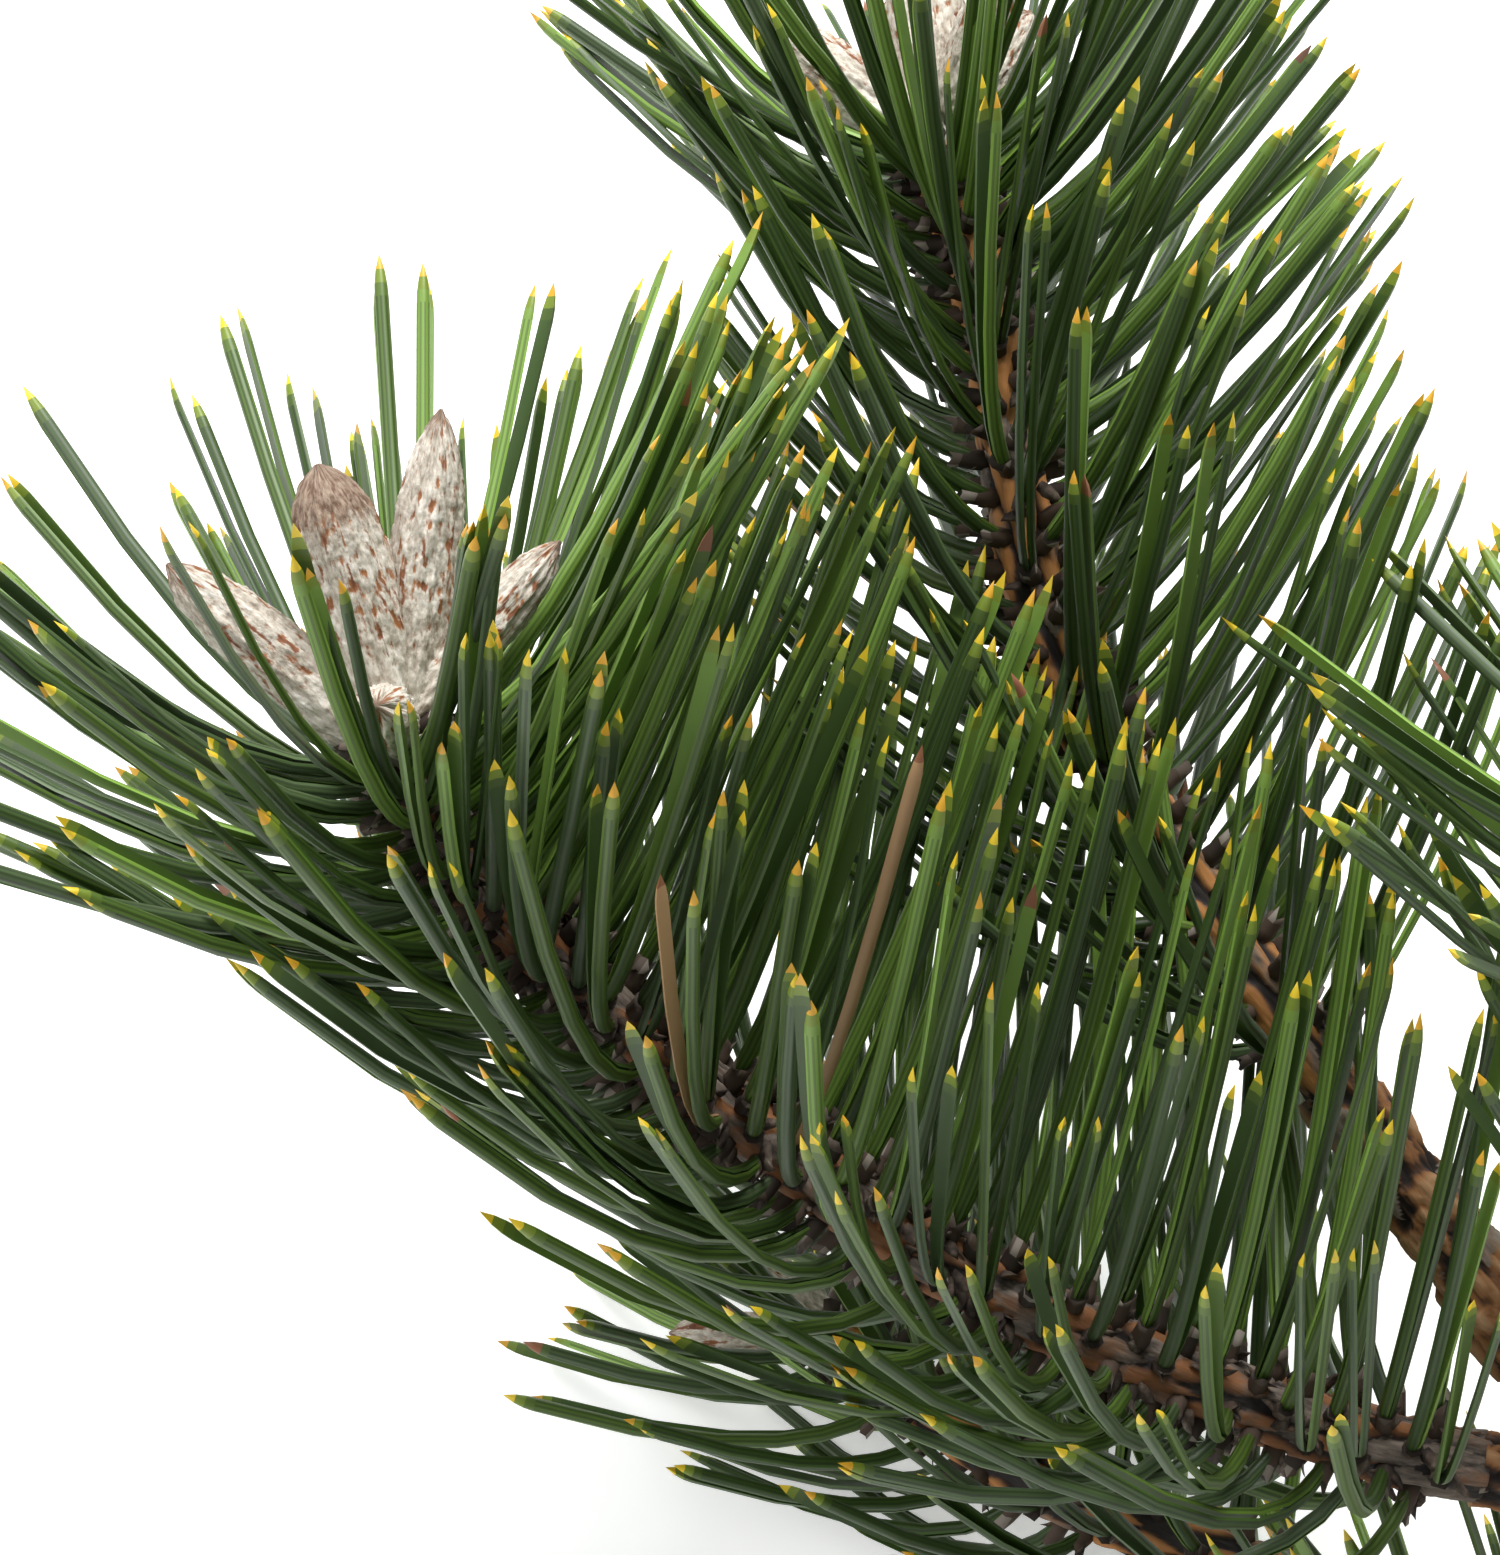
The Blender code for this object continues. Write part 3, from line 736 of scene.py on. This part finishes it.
# How far a needle's green has turned to yellow-green just short of its point
PALING = 0.15
GREENS = {
    "deep_green": (0.034, 0.070, 0.010),
    "mid_green": (0.062, 0.115, 0.014),
    # Painted light: needles facing the light and near the shoot's tip are drawn in this brighter green
    # more often
    "painted_light_green": (0.150, 0.262, 0.040),
    # Painted sheen: a greyer green, drawn more often on needles facing away from the light, stands in
    # for the reflection of the pale surroundings
    "painted_sheen_green": (0.058, 0.095, 0.034),
}
POINTS = {
    "yellow_green": (0.17, 0.235, 0.02),
    "yellow_point": (0.76, 0.54, 0.02),
    "amber_point": (0.70, 0.37, 0.02),
    "brown_point": (0.26, 0.10, 0.045),
    "dead_needle": (0.42, 0.25, 0.12),
}
KINDS = list(SHADES)
BROWN_SHARE = 0.02
DEAD_SHARE = 0.004
AMBER_SHARE = 0.35
# How much of the deep and the middle green there is: the shoots behind the near one get more of the deep
# green as painted shade
DEEP_SHARE = 0.45
SHADED_DEEP_SHARE = 1.2
MID_SHARE = 0.55


def needle_finishes():
    """The plain colours of the needles: four greens with their margins and lines, one of the greens
    painted light and one painted sheen, then the points.
    """
    made = []
    for green, colour in GREENS.items():
        for kind, shade in SHADES.items():
            share = PALING if kind == "paling" else 0
            aims = zip(colour, POINTS["yellow_green"])
            tint = tuple(shade * (1 - share) * part + share * aim for part, aim in aims)
            made.append(plain(f"{green}_{kind}", tint, 0.46))
    made += [plain(name, colour, 0.45) for name, colour in POINTS.items()]
    return made


def needle_sections(needles, draw):
    """The points round every ring of every needle, which is half round and slightly twisted."""
    steps = NEEDLE_RINGS * NEEDLE_STEPS
    low = np.minimum(steps.astype(int), NEEDLE_STEPS - 1)
    part = (steps - low)[None, :, None]
    rings = needles.lines[:, low] * (1 - part) + needles.lines[:, low + 1] * part
    tips = needles.lines[:, -1]
    runs = unit(np.gradient(np.concatenate([rings, tips[:, None]], 1), axis=1))[:, :-1]
    count = len(rings)
    facing = needles.twin
    twist = draw.uniform(-TWIST, TWIST, count)
    arc_x = np.append(np.cos(NEEDLE_ARC), 0.0)
    arc_y = np.append(np.sin(NEEDLE_ARC), NEEDLE_GROOVE)
    size = draw.uniform(*NEEDLE_SIZES, (count, 1, 1))
    sections = np.empty((count, len(NEEDLE_RINGS), len(arc_x), 3))
    for ring, width in enumerate(NEEDLE_WIDTHS):
        run = runs[:, ring]
        facing = unit(facing - run * (facing * run).sum(-1, keepdims=True))
        across = np.cross(facing, run)
        turned = twist * NEEDLE_RINGS[ring]
        rise = outward(facing, across, turned)[:, None]
        wide = outward(across, -facing, turned)[:, None]
        offsets = wide * NEEDLE_HALF_WIDTH * arc_x[:, None] + rise * NEEDLE_THICKNESS * arc_y[:, None]
        sections[:, ring] = rings[:, ring, None] + offsets * width * size
    return sections, tips


def dress_needles(key, needles, finishes):
    """All of one shoot's needles as one mesh, coloured strip by strip and ring by ring."""
    draw = np.random.default_rng(SEED + 3 * ord(key))
    sections, tips = needle_sections(needles, draw)
    count, rings, sides, _ = sections.shape
    vertices = np.concatenate([sections.reshape(count, -1, 3), tips[:, None]], 1).reshape(-1, 3)
    faces = spike_faces(rings, sides, count)

    # Painted light: each needle's green is drawn by how far it faces the light and how near it stands to
    # the shoot's tip
    lots = zip(needles.lit, needles.near_tip)
    green = np.array([draw.choice(len(GREENS), p=green_shares(key, *lot)) for lot in lots])
    first = green * len(KINDS)
    kinds = np.array([KINDS.index(strip) for strip in STRIPS])
    walls = np.broadcast_to(first[:, None, None] + kinds, (count, rings - 1, sides)).copy()
    slot = {name: number for number, name in enumerate(POINTS, len(GREENS) * len(KINDS))}
    walls[:, -2] = first[:, None] + KINDS.index("paling")
    walls[:, -1] = slot["yellow_green"]
    amber = draw.random(count) < AMBER_SHARE
    points = np.where(amber, slot["amber_point"], slot["yellow_point"])
    browned = draw.random(count) < BROWN_SHARE
    walls[browned, -1] = slot["brown_point"]
    dead = draw.random(count) < DEAD_SHARE
    walls[dead] = slot["dead_needle"]
    points[browned | dead] = slot["brown_point"]
    slots = np.concatenate([walls.ravel(), np.repeat(points, sides), first])
    piece = new_piece(f"needles_{key}", vertices, faces, finishes, slots=slots, sharp=50)
    dress(piece, "needles", f"shoot_{key}")


def green_shares(key, lit, near_tip):
    """How likely each green is: painted light makes needles brighter towards the light and the tip,
    painted sheen makes them greyer away from it.
    """
    bright = np.clip(0.16 + 0.30 * lit + 0.45 * near_tip, 0.02, 1.6)
    grey = np.clip(0.25 - 0.35 * lit, 0.03, 0.6)
    # Painted shade: the shoots behind the near one draw the deep green more often
    deep = DEEP_SHARE if key == "a" else SHADED_DEEP_SHARE
    shares = np.array([deep, MID_SHARE, bright * 1.4, grey])
    return shares / shares.sum()


SHEATH_COLOURS = {
    "dark_sheath": (0.040, 0.027, 0.019),
    "brown_sheath": (0.085, 0.055, 0.038),
    "grey_sheath": (0.12, 0.09, 0.07),
    "pale_paper": (0.28, 0.24, 0.20),
}
# Which of these colours the sheaths' walls and their torn rims are, by their order above
WALL_COLOURS = (0, 1, 1)
RIM_COLOURS = (1, 2, 2, 3)


def dress_sheaths(key, sheaths, finishes):
    """The papery sheaths round the roots of the pairs, each with a torn rim."""
    draw = np.random.default_rng(SEED + 5 * ord(key))
    count = len(sheaths.distance)
    beside, beyond = round_sheaths(sheaths)
    out = outward(beside[:, None], beyond[:, None], even_angles(SHEATH_SIDES))
    length = SHEATH_LENGTH * draw.uniform(*SHEATH_LENGTHS, (count, 1, 1))
    foot = sheaths.root + sheaths.leaving * (NEEDLE_SINK - SHEATH_SINK)
    rings = []
    for share, radius in zip(SHEATH_RINGS, SHEATH_RADII):
        uneven = radius * draw.uniform(*SHEATH_UNEVEN, (count, SHEATH_SIDES, 1))
        ragged = SHEATH_RAGGED * share**3 * draw.uniform(-1, 1, (count, SHEATH_SIDES, 1))
        rings.append(foot[:, None] + sheaths.leaving[:, None] * (length * share + ragged) + out * uneven)
    mouth = foot + sheaths.leaving * length[:, 0] * SHEATH_MOUTH
    vertices = np.concatenate([*rings, mouth[:, None]], 1).reshape(-1, 3)
    faces = spike_faces(len(rings), SHEATH_SIDES, count)
    wall = draw.choice(WALL_COLOURS, (count, 1, 1))
    walls = np.broadcast_to(wall, (count, len(rings) - 1, SHEATH_SIDES)).copy()
    walls[:, -1] = draw.choice(RIM_COLOURS, (count, SHEATH_SIDES))
    mouths_and_feet = np.zeros(count * (SHEATH_SIDES + 1))
    slots = np.concatenate([walls.ravel(), mouths_and_feet])
    piece = new_piece(f"sheaths_{key}", vertices, faces, finishes, slots=slots)
    dress(piece, "bark")


# How many torn scales stand round each sheath: most on the near, shaded shoot
SCALES_A_SHEATH = {"a": 3, "b": 1}
OTHER_SCALES_A_SHEATH = 2
SCALE_SINK = 0.5 * MM
SCALE_STRAYS = 0.9 * MM


def paper_scale():
    """One torn papery scale: a thin strip that curls outwards, closed, its foot at the origin."""
    shares = np.array([0.0, 0.35, 0.7])
    widths = MM * np.array([0.55, 0.75, 0.50])
    curl = 1.1
    thickness = 0.10 * MM
    length = 3.6 * MM
    bend = np.stack([1 - np.cos(curl * shares), 0 * shares, np.sin(curl * shares)], -1) * length / curl
    ring = np.array([[0, -1, 0], [1, 0, 0], [0, 1, 0], [-1, 0, 0]])
    size = np.stack([0 * widths + thickness, widths, 0 * widths], -1)
    rings = bend[:, None] + ring[None] * size[:, None]
    tip = [(1 - math.cos(curl)) * length / curl, 0, math.sin(curl) * length / curl]
    vertices = np.vstack([rings.reshape(-1, 3), tip])
    return new_piece("paper_scale", vertices, spike_faces(len(shares), len(ring)), [])


SCALES_INPUTS = {
    "Sheath feet": "Geometry",
    "Scale": "Object",
    "Scales a sheath": "Int",
    "Strays": "Vector",
    "Finish": "Material",
    "Seed": "Int",
}
# How far a scale leans off its sheath in radians, and its least and greatest size
SCALE_SWING = 0.75
SCALE_SIZES = (0.45, 0.5, 0.5), (1.1, 1.2, 1.1)


def scales_tree():
    """A node tree that deals out copies of one papery scale round each point it is given."""
    tree = bpy.data.node_groups.new("papery_scales", "GeometryNodeTree")
    for title, kind in SCALES_INPUTS.items():
        tree.interface.new_socket(title, in_out="INPUT", socket_type="NodeSocket" + kind)
    tree.interface.new_socket("Scales", in_out="OUTPUT", socket_type="NodeSocketGeometry")

    def node(kind, inputs=None, **settings):
        return add_node(tree, kind, inputs or {}, **settings).outputs

    def random_vector(low, high):
        inputs = {"Seed": given["Seed"], 0: low, 1: high}
        return node("FunctionNodeRandomValue", inputs, data_type="FLOAT_VECTOR")[0]

    given = node("NodeGroupInput")
    feet = {"Geometry": given["Sheath feet"], "Amount": given["Scales a sheath"]}
    copies = node("GeometryNodeDuplicateElements", feet, domain="POINT")
    lean = node("GeometryNodeInputNamedAttribute", {"Name": "lean"}, data_type="FLOAT_VECTOR")
    aligned = node("FunctionNodeAlignRotationToVector", {"Vector": lean[0]}, axis="Z")
    swing = random_vector((-SCALE_SWING, -SCALE_SWING, 0.0), (SCALE_SWING, SCALE_SWING, TURN))
    swung = {"Rotation": aligned[0], "Rotate By": node("FunctionNodeEulerToRotation", {0: swing})[0]}
    placed = node("GeometryNodeInstanceOnPoints", {
        "Points": copies["Geometry"],
        "Instance": node("GeometryNodeObjectInfo", {"Object": given["Scale"]})["Geometry"],
        "Rotation": node("FunctionNodeRotateRotation", swung, rotation_space="LOCAL")[0],
        "Scale": random_vector(*SCALE_SIZES),
    })
    stray = {0: random_vector((-1, -1, -1), (1, 1, 1)), 1: given["Strays"]}
    moved = node("GeometryNodeTranslateInstances", {
        "Instances": placed[0],
        "Translation": node("ShaderNodeVectorMath", stray, operation="MULTIPLY")[0],
    })
    real = node("GeometryNodeRealizeInstances", {0: moved[0]})
    finished = node("GeometryNodeSetMaterial", {"Geometry": real[0], "Material": given["Finish"]})
    node("NodeGroupOutput", {0: finished[0]})
    return tree


def dress_scales(key, sheaths, tree, scale, finish):
    """Torn papery scales round the feet of one shoot's sheaths."""
    feet = sheaths.root + sheaths.out * (NEEDLE_SINK - SCALE_SINK)
    points = new_piece(f"scales_{key}", feet, [], [], attributes={"lean": sheaths.leaving})
    modifier = points.modifiers.new("papery_scales", "NODES")
    modifier.node_group = tree
    wanted = {
        "Scale": scale,
        "Scales a sheath": SCALES_A_SHEATH.get(key, OTHER_SCALES_A_SHEATH),
        "Strays": (SCALE_STRAYS, SCALE_STRAYS, SCALE_STRAYS),
        "Finish": finish,
        "Seed": SEED + ord(key),
    }
    for socket in tree.interface.items_tree:
        if socket.name in wanted:
            modifier[socket.identifier] = wanted[socket.name]
    graph = bpy.context.evaluated_depsgraph_get()
    made = bpy.data.meshes.new_from_object(points.evaluated_get(graph))
    points.modifiers.clear()
    points.data = made
    dress(points, "bark")


def crumpled_paper(name):
    """Grey-brown papery remains, from dark to bleached."""
    made = Finish(name, roughness=0.85)
    place = made.node("TexCoord").outputs["Object"]
    return made.done(made.ramp(
        made.noise(place, 420),
        (0.36, (0.022, 0.015, 0.011)),
        (0.50, (0.075, 0.050, 0.035)),
        (0.64, (0.17, 0.13, 0.10)),
        (0.78, (0.44, 0.38, 0.32)),
    ))


# Wood


def limb_rings(route, distances, angles, radii):
    """Points round a limb: a grid of distances and angles at their radii."""
    centres, runs = at(route, distances)
    side, over = round_frame(runs)
    out = outward(side[:, None], over[:, None], angles)
    return centres[:, None] + out * radii[..., None]


def straightened(distances, angles, radius):
    """The same grid on a limb that runs straight up, for a grain that follows the limb."""
    across = np.cos(angles) * radius, np.sin(angles) * radius
    return np.stack(np.broadcast_arrays(*across, distances[:, None]), -1)


def dress_stem(key, sheaths, bark):
    """A young stem: a cushion of bark below each sheath, and a crust of resin round its tip."""
    shoot = SHOOTS[key]
    end = shoot.route.along[-1]
    distances = np.arange(shoot.bare - STEM_OVERLAP, end, YOUNG_CELL)
    angles = even_angles(round(TURN * SHOOT_RADIUS / YOUNG_CELL))
    radii = shoot_radius(shoot, distances)
    anchors = sheaths.distance, sheaths.angle
    height, tone = cushions(distances, angles, radii, anchors, *YOUNG_CUSHION, SEED + ord(key))
    place = straightened(distances, angles, SHOOT_RADIUS)
    lumps = grain(place * (1, 1, 0.5), YOUNG_LUMPS)
    ragged = distances[:, None] + lumps * RESIN_RAGGED * MM
    crust = smooth_step(ragged, end - RESIN_STARTS, end - RESIN_FULL)
    furrow, cushion, lump, resin = 0.75 * MM, 0.85 * MM, 0.22 * MM, 0.5 * MM
    relief = -furrow + cushion * height + lump * lumps + resin * crust
    rings = limb_rings(shoot.route, distances, angles, radii[:, None] + relief)
    dome_angles = np.radians([20, 40, 60, 78])
    dome_distances = end + SHOOT_TIP_RADIUS * np.sin(dome_angles)
    dome_radii = (SHOOT_TIP_RADIUS * np.cos(dome_angles))[:, None]
    dome = limb_rings(shoot.route, dome_distances, angles, dome_radii)
    dome_rows = np.ones((len(dome_angles), len(angles)))
    values = {
        "ridge": np.concatenate([height, dome_rows]),
        "tone": np.concatenate([tone, dome_rows * MIDDLE_TONE]),
        "crust": np.concatenate([crust, dome_rows]),
        "straight": straightened(np.concatenate([distances, dome_distances]), angles, SHOOT_RADIUS),
    }
    dress_skin(f"stem_{key}", np.concatenate([rings, dome]), values, bark, "bark")


def dress_old_wood(name, route, distances, radii, seed, bark):
    """A limb's flaky old bark: long plates where needles once stood, with dark pits at their heads."""
    angles = even_angles(round(TURN * radii.mean() / OLD_CELL))
    draw = np.random.default_rng(seed)
    count = round((distances[-1] - distances[0]) / MM)
    heads = np.linspace(distances[0], distances[-1] + PLATES_PAST, count)
    heads = heads + draw.uniform(-PLATE_STRAYS, PLATE_STRAYS, count) * MM
    turns = np.arange(count) * GOLDEN_ANGLE + draw.uniform(-PLATE_TURNS, PLATE_TURNS, count)
    place = straightened(distances, angles, radii.mean())
    height, tone = cushions(distances, angles, radii, (heads, turns), *OLD_PLATE, seed, roundness=0.6)
    lumps = grain(place * (1, 1, 0.45), OLD_LUMPS, 4)
    layers = np.floor(LAYERS * (lumps + 0.5)) / LAYERS
    flakes = 0.6 * layers + 0.4 * lumps
    pit, plate, flake = 1.0 * MM, 1.25 * MM, 0.8 * MM
    relief = -pit + plate * height + flake * flakes
    ridge = np.clip(0.95 * height + 0.6 * flakes, 0, 1)
    rings = limb_rings(route, distances, angles, radii[:, None] + relief)
    values = {"ridge": ridge, "tone": tone, "straight": place}
    dress_skin(f"{name}_bark", rings, values, bark, "bark", name)


def dress_main_stem(bark):
    """The main stem, from the fresh flat cut to the foot of the leading shoot."""
    distances = np.arange(0, MAIN_STEM.along[-1], OLD_CELL)
    dress_old_wood("main_stem", MAIN_STEM, distances, stem_radius(distances), SEED, bark)


def dress_cut(wood):
    """The face of the cut: yearly rings as shallow steps, from its rim in to the pith."""
    angles = even_angles(CUT_SIDES)
    shares = np.array([0.97, 1.0, 0.93, 0.84, 0.74, 0.63, 0.52, 0.41, 0.30, 0.20, 0.10, 0.03])
    depths = MM * np.array(
        [1.2, 0.02, -0.06, -0.03, -0.07, -0.03, -0.07, -0.03, -0.07, -0.03, -0.05, 0.02]
    )
    radius = CUT_RADIUS - CUT_INSET
    radii = (shares * radius)[:, None] * (1 + 0.02 * np.cos(3 * angles) + 0.015 * np.sin(7 * angles))
    rings = limb_rings(MAIN_STEM, np.zeros(len(shares)), angles, radii)
    _, run = at(MAIN_STEM, np.zeros(1))
    rings = rings + run[0] * depths[:, None, None]
    values = {
        "ring": np.broadcast_to(shares[:, None], radii.shape),
        "straight": straightened(depths, angles, radius) * shares[:, None, None],
    }
    turned = {name: value[::-1] for name, value in values.items()}
    dress_skin("cut_face", rings[::-1], turned, wood, "bark")


def dress_bough(key, bark):
    """The bare older wood of a side shoot, from inside the knot to its needles."""
    shoot = SHOOTS[key]
    distances = np.arange(BOUGH_STARTS, shoot.bare, OLD_CELL)
    radii = bough_radius(shoot, distances)
    dress_old_wood(f"bough_{key}", shoot.route, distances, radii, SEED + 7 * ord(key), bark)


# Buds


def bud_profile(share, blunt):
    """A bud's radius as a share of its widest: from its waist, out to its belly, in to its point."""
    waist, belly = 0.74, 0.46
    low = waist + (1 - waist) * np.sin(math.pi / 2 * np.clip(share / belly, 0, 1))
    high = 1 - np.clip((share - belly) / (1 - belly), 0, 1) ** blunt
    return np.where(share < belly, low, high)


def dress_bud(key, number, bud, finish):
    """A resting bud: overlapping pointed scales under a crust of resin."""
    shoot = SHOOTS[key]
    foot, tip = bud_axis(shoot, bud)
    draw = np.random.default_rng(SEED + 11 * ord(key) + number)
    length = np.linalg.norm(tip - foot)
    radius = bud.width * MM / 2
    rows = round(length / BUD_CELL)
    # Rows, and scales, stand a little closer towards the tip
    shares = np.linspace(0, 1, rows + 1)[:-1] ** 0.93
    distances = shares * length
    angles = even_angles(round(TURN * radius / BUD_CELL))
    profile = bud_profile(shares, bud.blunt) * radius
    count = round(length / MM * bud.width / BUD_SCALE_AREA)
    anchors = np.linspace(0.05, 1.0, count) ** 0.9 * length, np.arange(count) * GOLDEN_ANGLE
    scales = bud_scales(distances, angles, np.maximum(profile, 0.3 * radius), anchors, draw)
    place = straightened(distances, angles, radius) + draw.uniform(-1, 1, 3)
    crumbs = grain(place * (1, 1, 0.5), BUD_CRUMBS)
    streaks = grain(place * (1, 1, 0.10), BUD_STREAKS, 2)
    # The crust is thickest low on a bud, and all relief fades out at its point
    low = 1 - smooth_step(shares, 0.1, 0.42)[:, None]
    crust = np.clip(0.45 + 0.5 * crumbs + 0.35 * low - 0.25 * streaks, 0, 1)
    scale, crumb, streak, cake = 0.48 * MM, 0.18 * MM, 0.40 * MM, 0.25 * MM
    relief = scale * scales + crumb * crumbs + streak * streaks + cake * low * crust
    fade = np.minimum(1, (profile / radius) * 2.5)[:, None]
    outer = profile[:, None] - 0.25 * MM * fade + relief * fade
    run = (tip - foot) / length
    side, over = round_frame(run[None])
    out = outward(side, over, angles)
    rings = foot + run * distances[:, None, None] + out * outer[..., None]
    brown_from = BROWN_FROM["pointed" if bud.blunt < BLUNT_TIP else "worn"]
    ragged = 0.08
    tipped = smooth_step(shares[:, None] + ragged * crumbs, brown_from, brown_from + ragged)
    values = {"crust": crust * (0.55 + 0.6 * scales), "tip": tipped, "straight": place}
    dress_skin(f"bud_{key}{number}_scales", rings, values, finish, "buds", f"bud_{key}{number}")


def bud_scales(distances, angles, radii, anchors, draw):
    """How far the scales stand out: each is pointed, and its tip lies over the scales above it."""
    length, width = BUD_SCALE
    height = np.zeros((len(distances), len(angles)))
    for distance, angle in zip(*anchors):
        own = length * draw.uniform(*BUD_SCALE_LENGTHS)
        rows, down, across = below(distances, angles, radii, distance, angle, own)
        half = width / 2 * np.minimum(1, (down / 0.45) ** 0.65) * draw.uniform(*BUD_SCALE_WIDTHS)
        inside = 1 - np.abs(across) / half
        lens = np.where(inside > 0, (1 - 0.8 * down) * np.minimum(1, 3.5 * inside) ** 0.5, 0)
        height[rows] = np.maximum(height[rows], lens)
    return height


# Studio


def build_studio():
    """A pale floor, soft light from high behind and high on the left, and the photograph's view."""
    reach = 3.0
    corners = [(-reach, -reach, 0), (reach, -reach, 0), (reach, reach, 0), (-reach, reach, 0)]
    glow = {"emission_color": (1, 1, 1, 1), "emission_strength": 0.35}
    pale = plain("pale_floor", (0.95, 0.95, 0.95), 0.9, **glow)
    new_piece("floor", corners, [(0, 1, 2, 3)], [pale])

    world = bpy.data.worlds.new("soft_surround")
    world.use_nodes = True
    surround = world.node_tree.nodes["Background"]
    surround.inputs["Color"].default_value = (0.96, 0.98, 1.0, 1.0)
    surround.inputs["Strength"].default_value = 0.37
    bpy.context.scene.world = world
    bpy.context.scene.view_settings.view_transform = "Standard"

    soft_light("top_light", (0.15, 0.75, 1.15), 26.5)
    soft_light("left_light", (-0.95, -0.05, 0.95), 8.0)

    camera = bpy.data.cameras.new("camera")
    camera.sensor_fit = "VERTICAL"
    camera.sensor_height = 36.0
    camera.lens = 114.6
    camera.clip_start = 0.01
    bpy.context.scene.camera = stand_back("camera", camera, VIEW_TARGET, VIEW_BACK)


def soft_light(name, place, power):
    lamp = bpy.data.lights.new(name, "AREA")
    lamp.shape = "DISK"
    lamp.size = 0.8
    lamp.energy = power
    stand_back(name, lamp, np.zeros(3), place)


def stand_back(name, data, target, back):
    """A camera or a light that stands back from a target and looks at it."""
    made = bpy.data.objects.new(name, data)
    made.location = target + back
    made.rotation_euler = (-Vector(back)).to_track_quat("-Z", "Y").to_euler()
    bpy.context.scene.collection.objects.link(made)
    return made


def build():
    build_studio()
    greens = needle_finishes()
    papers = [plain(name, colour, 0.8) for name, colour in SHEATH_COLOURS.items()]
    scale, tree = paper_scale(), scales_tree()
    crumpled = crumpled_paper("crumpled_paper")
    old = old_bark("flaky_bark")
    # Young bark in a shaded and a lit copy: painted shade darkens the near shoot's stem, and painted
    # sunlight makes the other stems a brighter orange. The copies also differ in how much paper covers
    # them
    shaded = young_bark("shaded_young_bark", (0.21, 0.082, 0.026), 0.98)
    sunned = young_bark("painted_sunlit_young_bark", (0.42, 0.18, 0.05), 1.15)
    resin = resinous_scales("resinous_scales")
    dress_main_stem(old)
    dress_cut(cut_wood("cut_wood"))
    for key, shoot in SHOOTS.items():
        sheaths = sheaths_of(key)
        dress_needles(key, grow_needles(key, sheaths), greens)
        dress_sheaths(key, sheaths, papers)
        dress_scales(key, sheaths, tree, scale, crumpled)
        dress_stem(key, sheaths, shaded if key == "a" else sunned)
        if shoot.bare:
            dress_bough(key, old)
        for number, bud in enumerate(shoot.buds, 1):
            dress_bud(key, number, bud, resin)
    bpy.data.objects.remove(scale)


build()
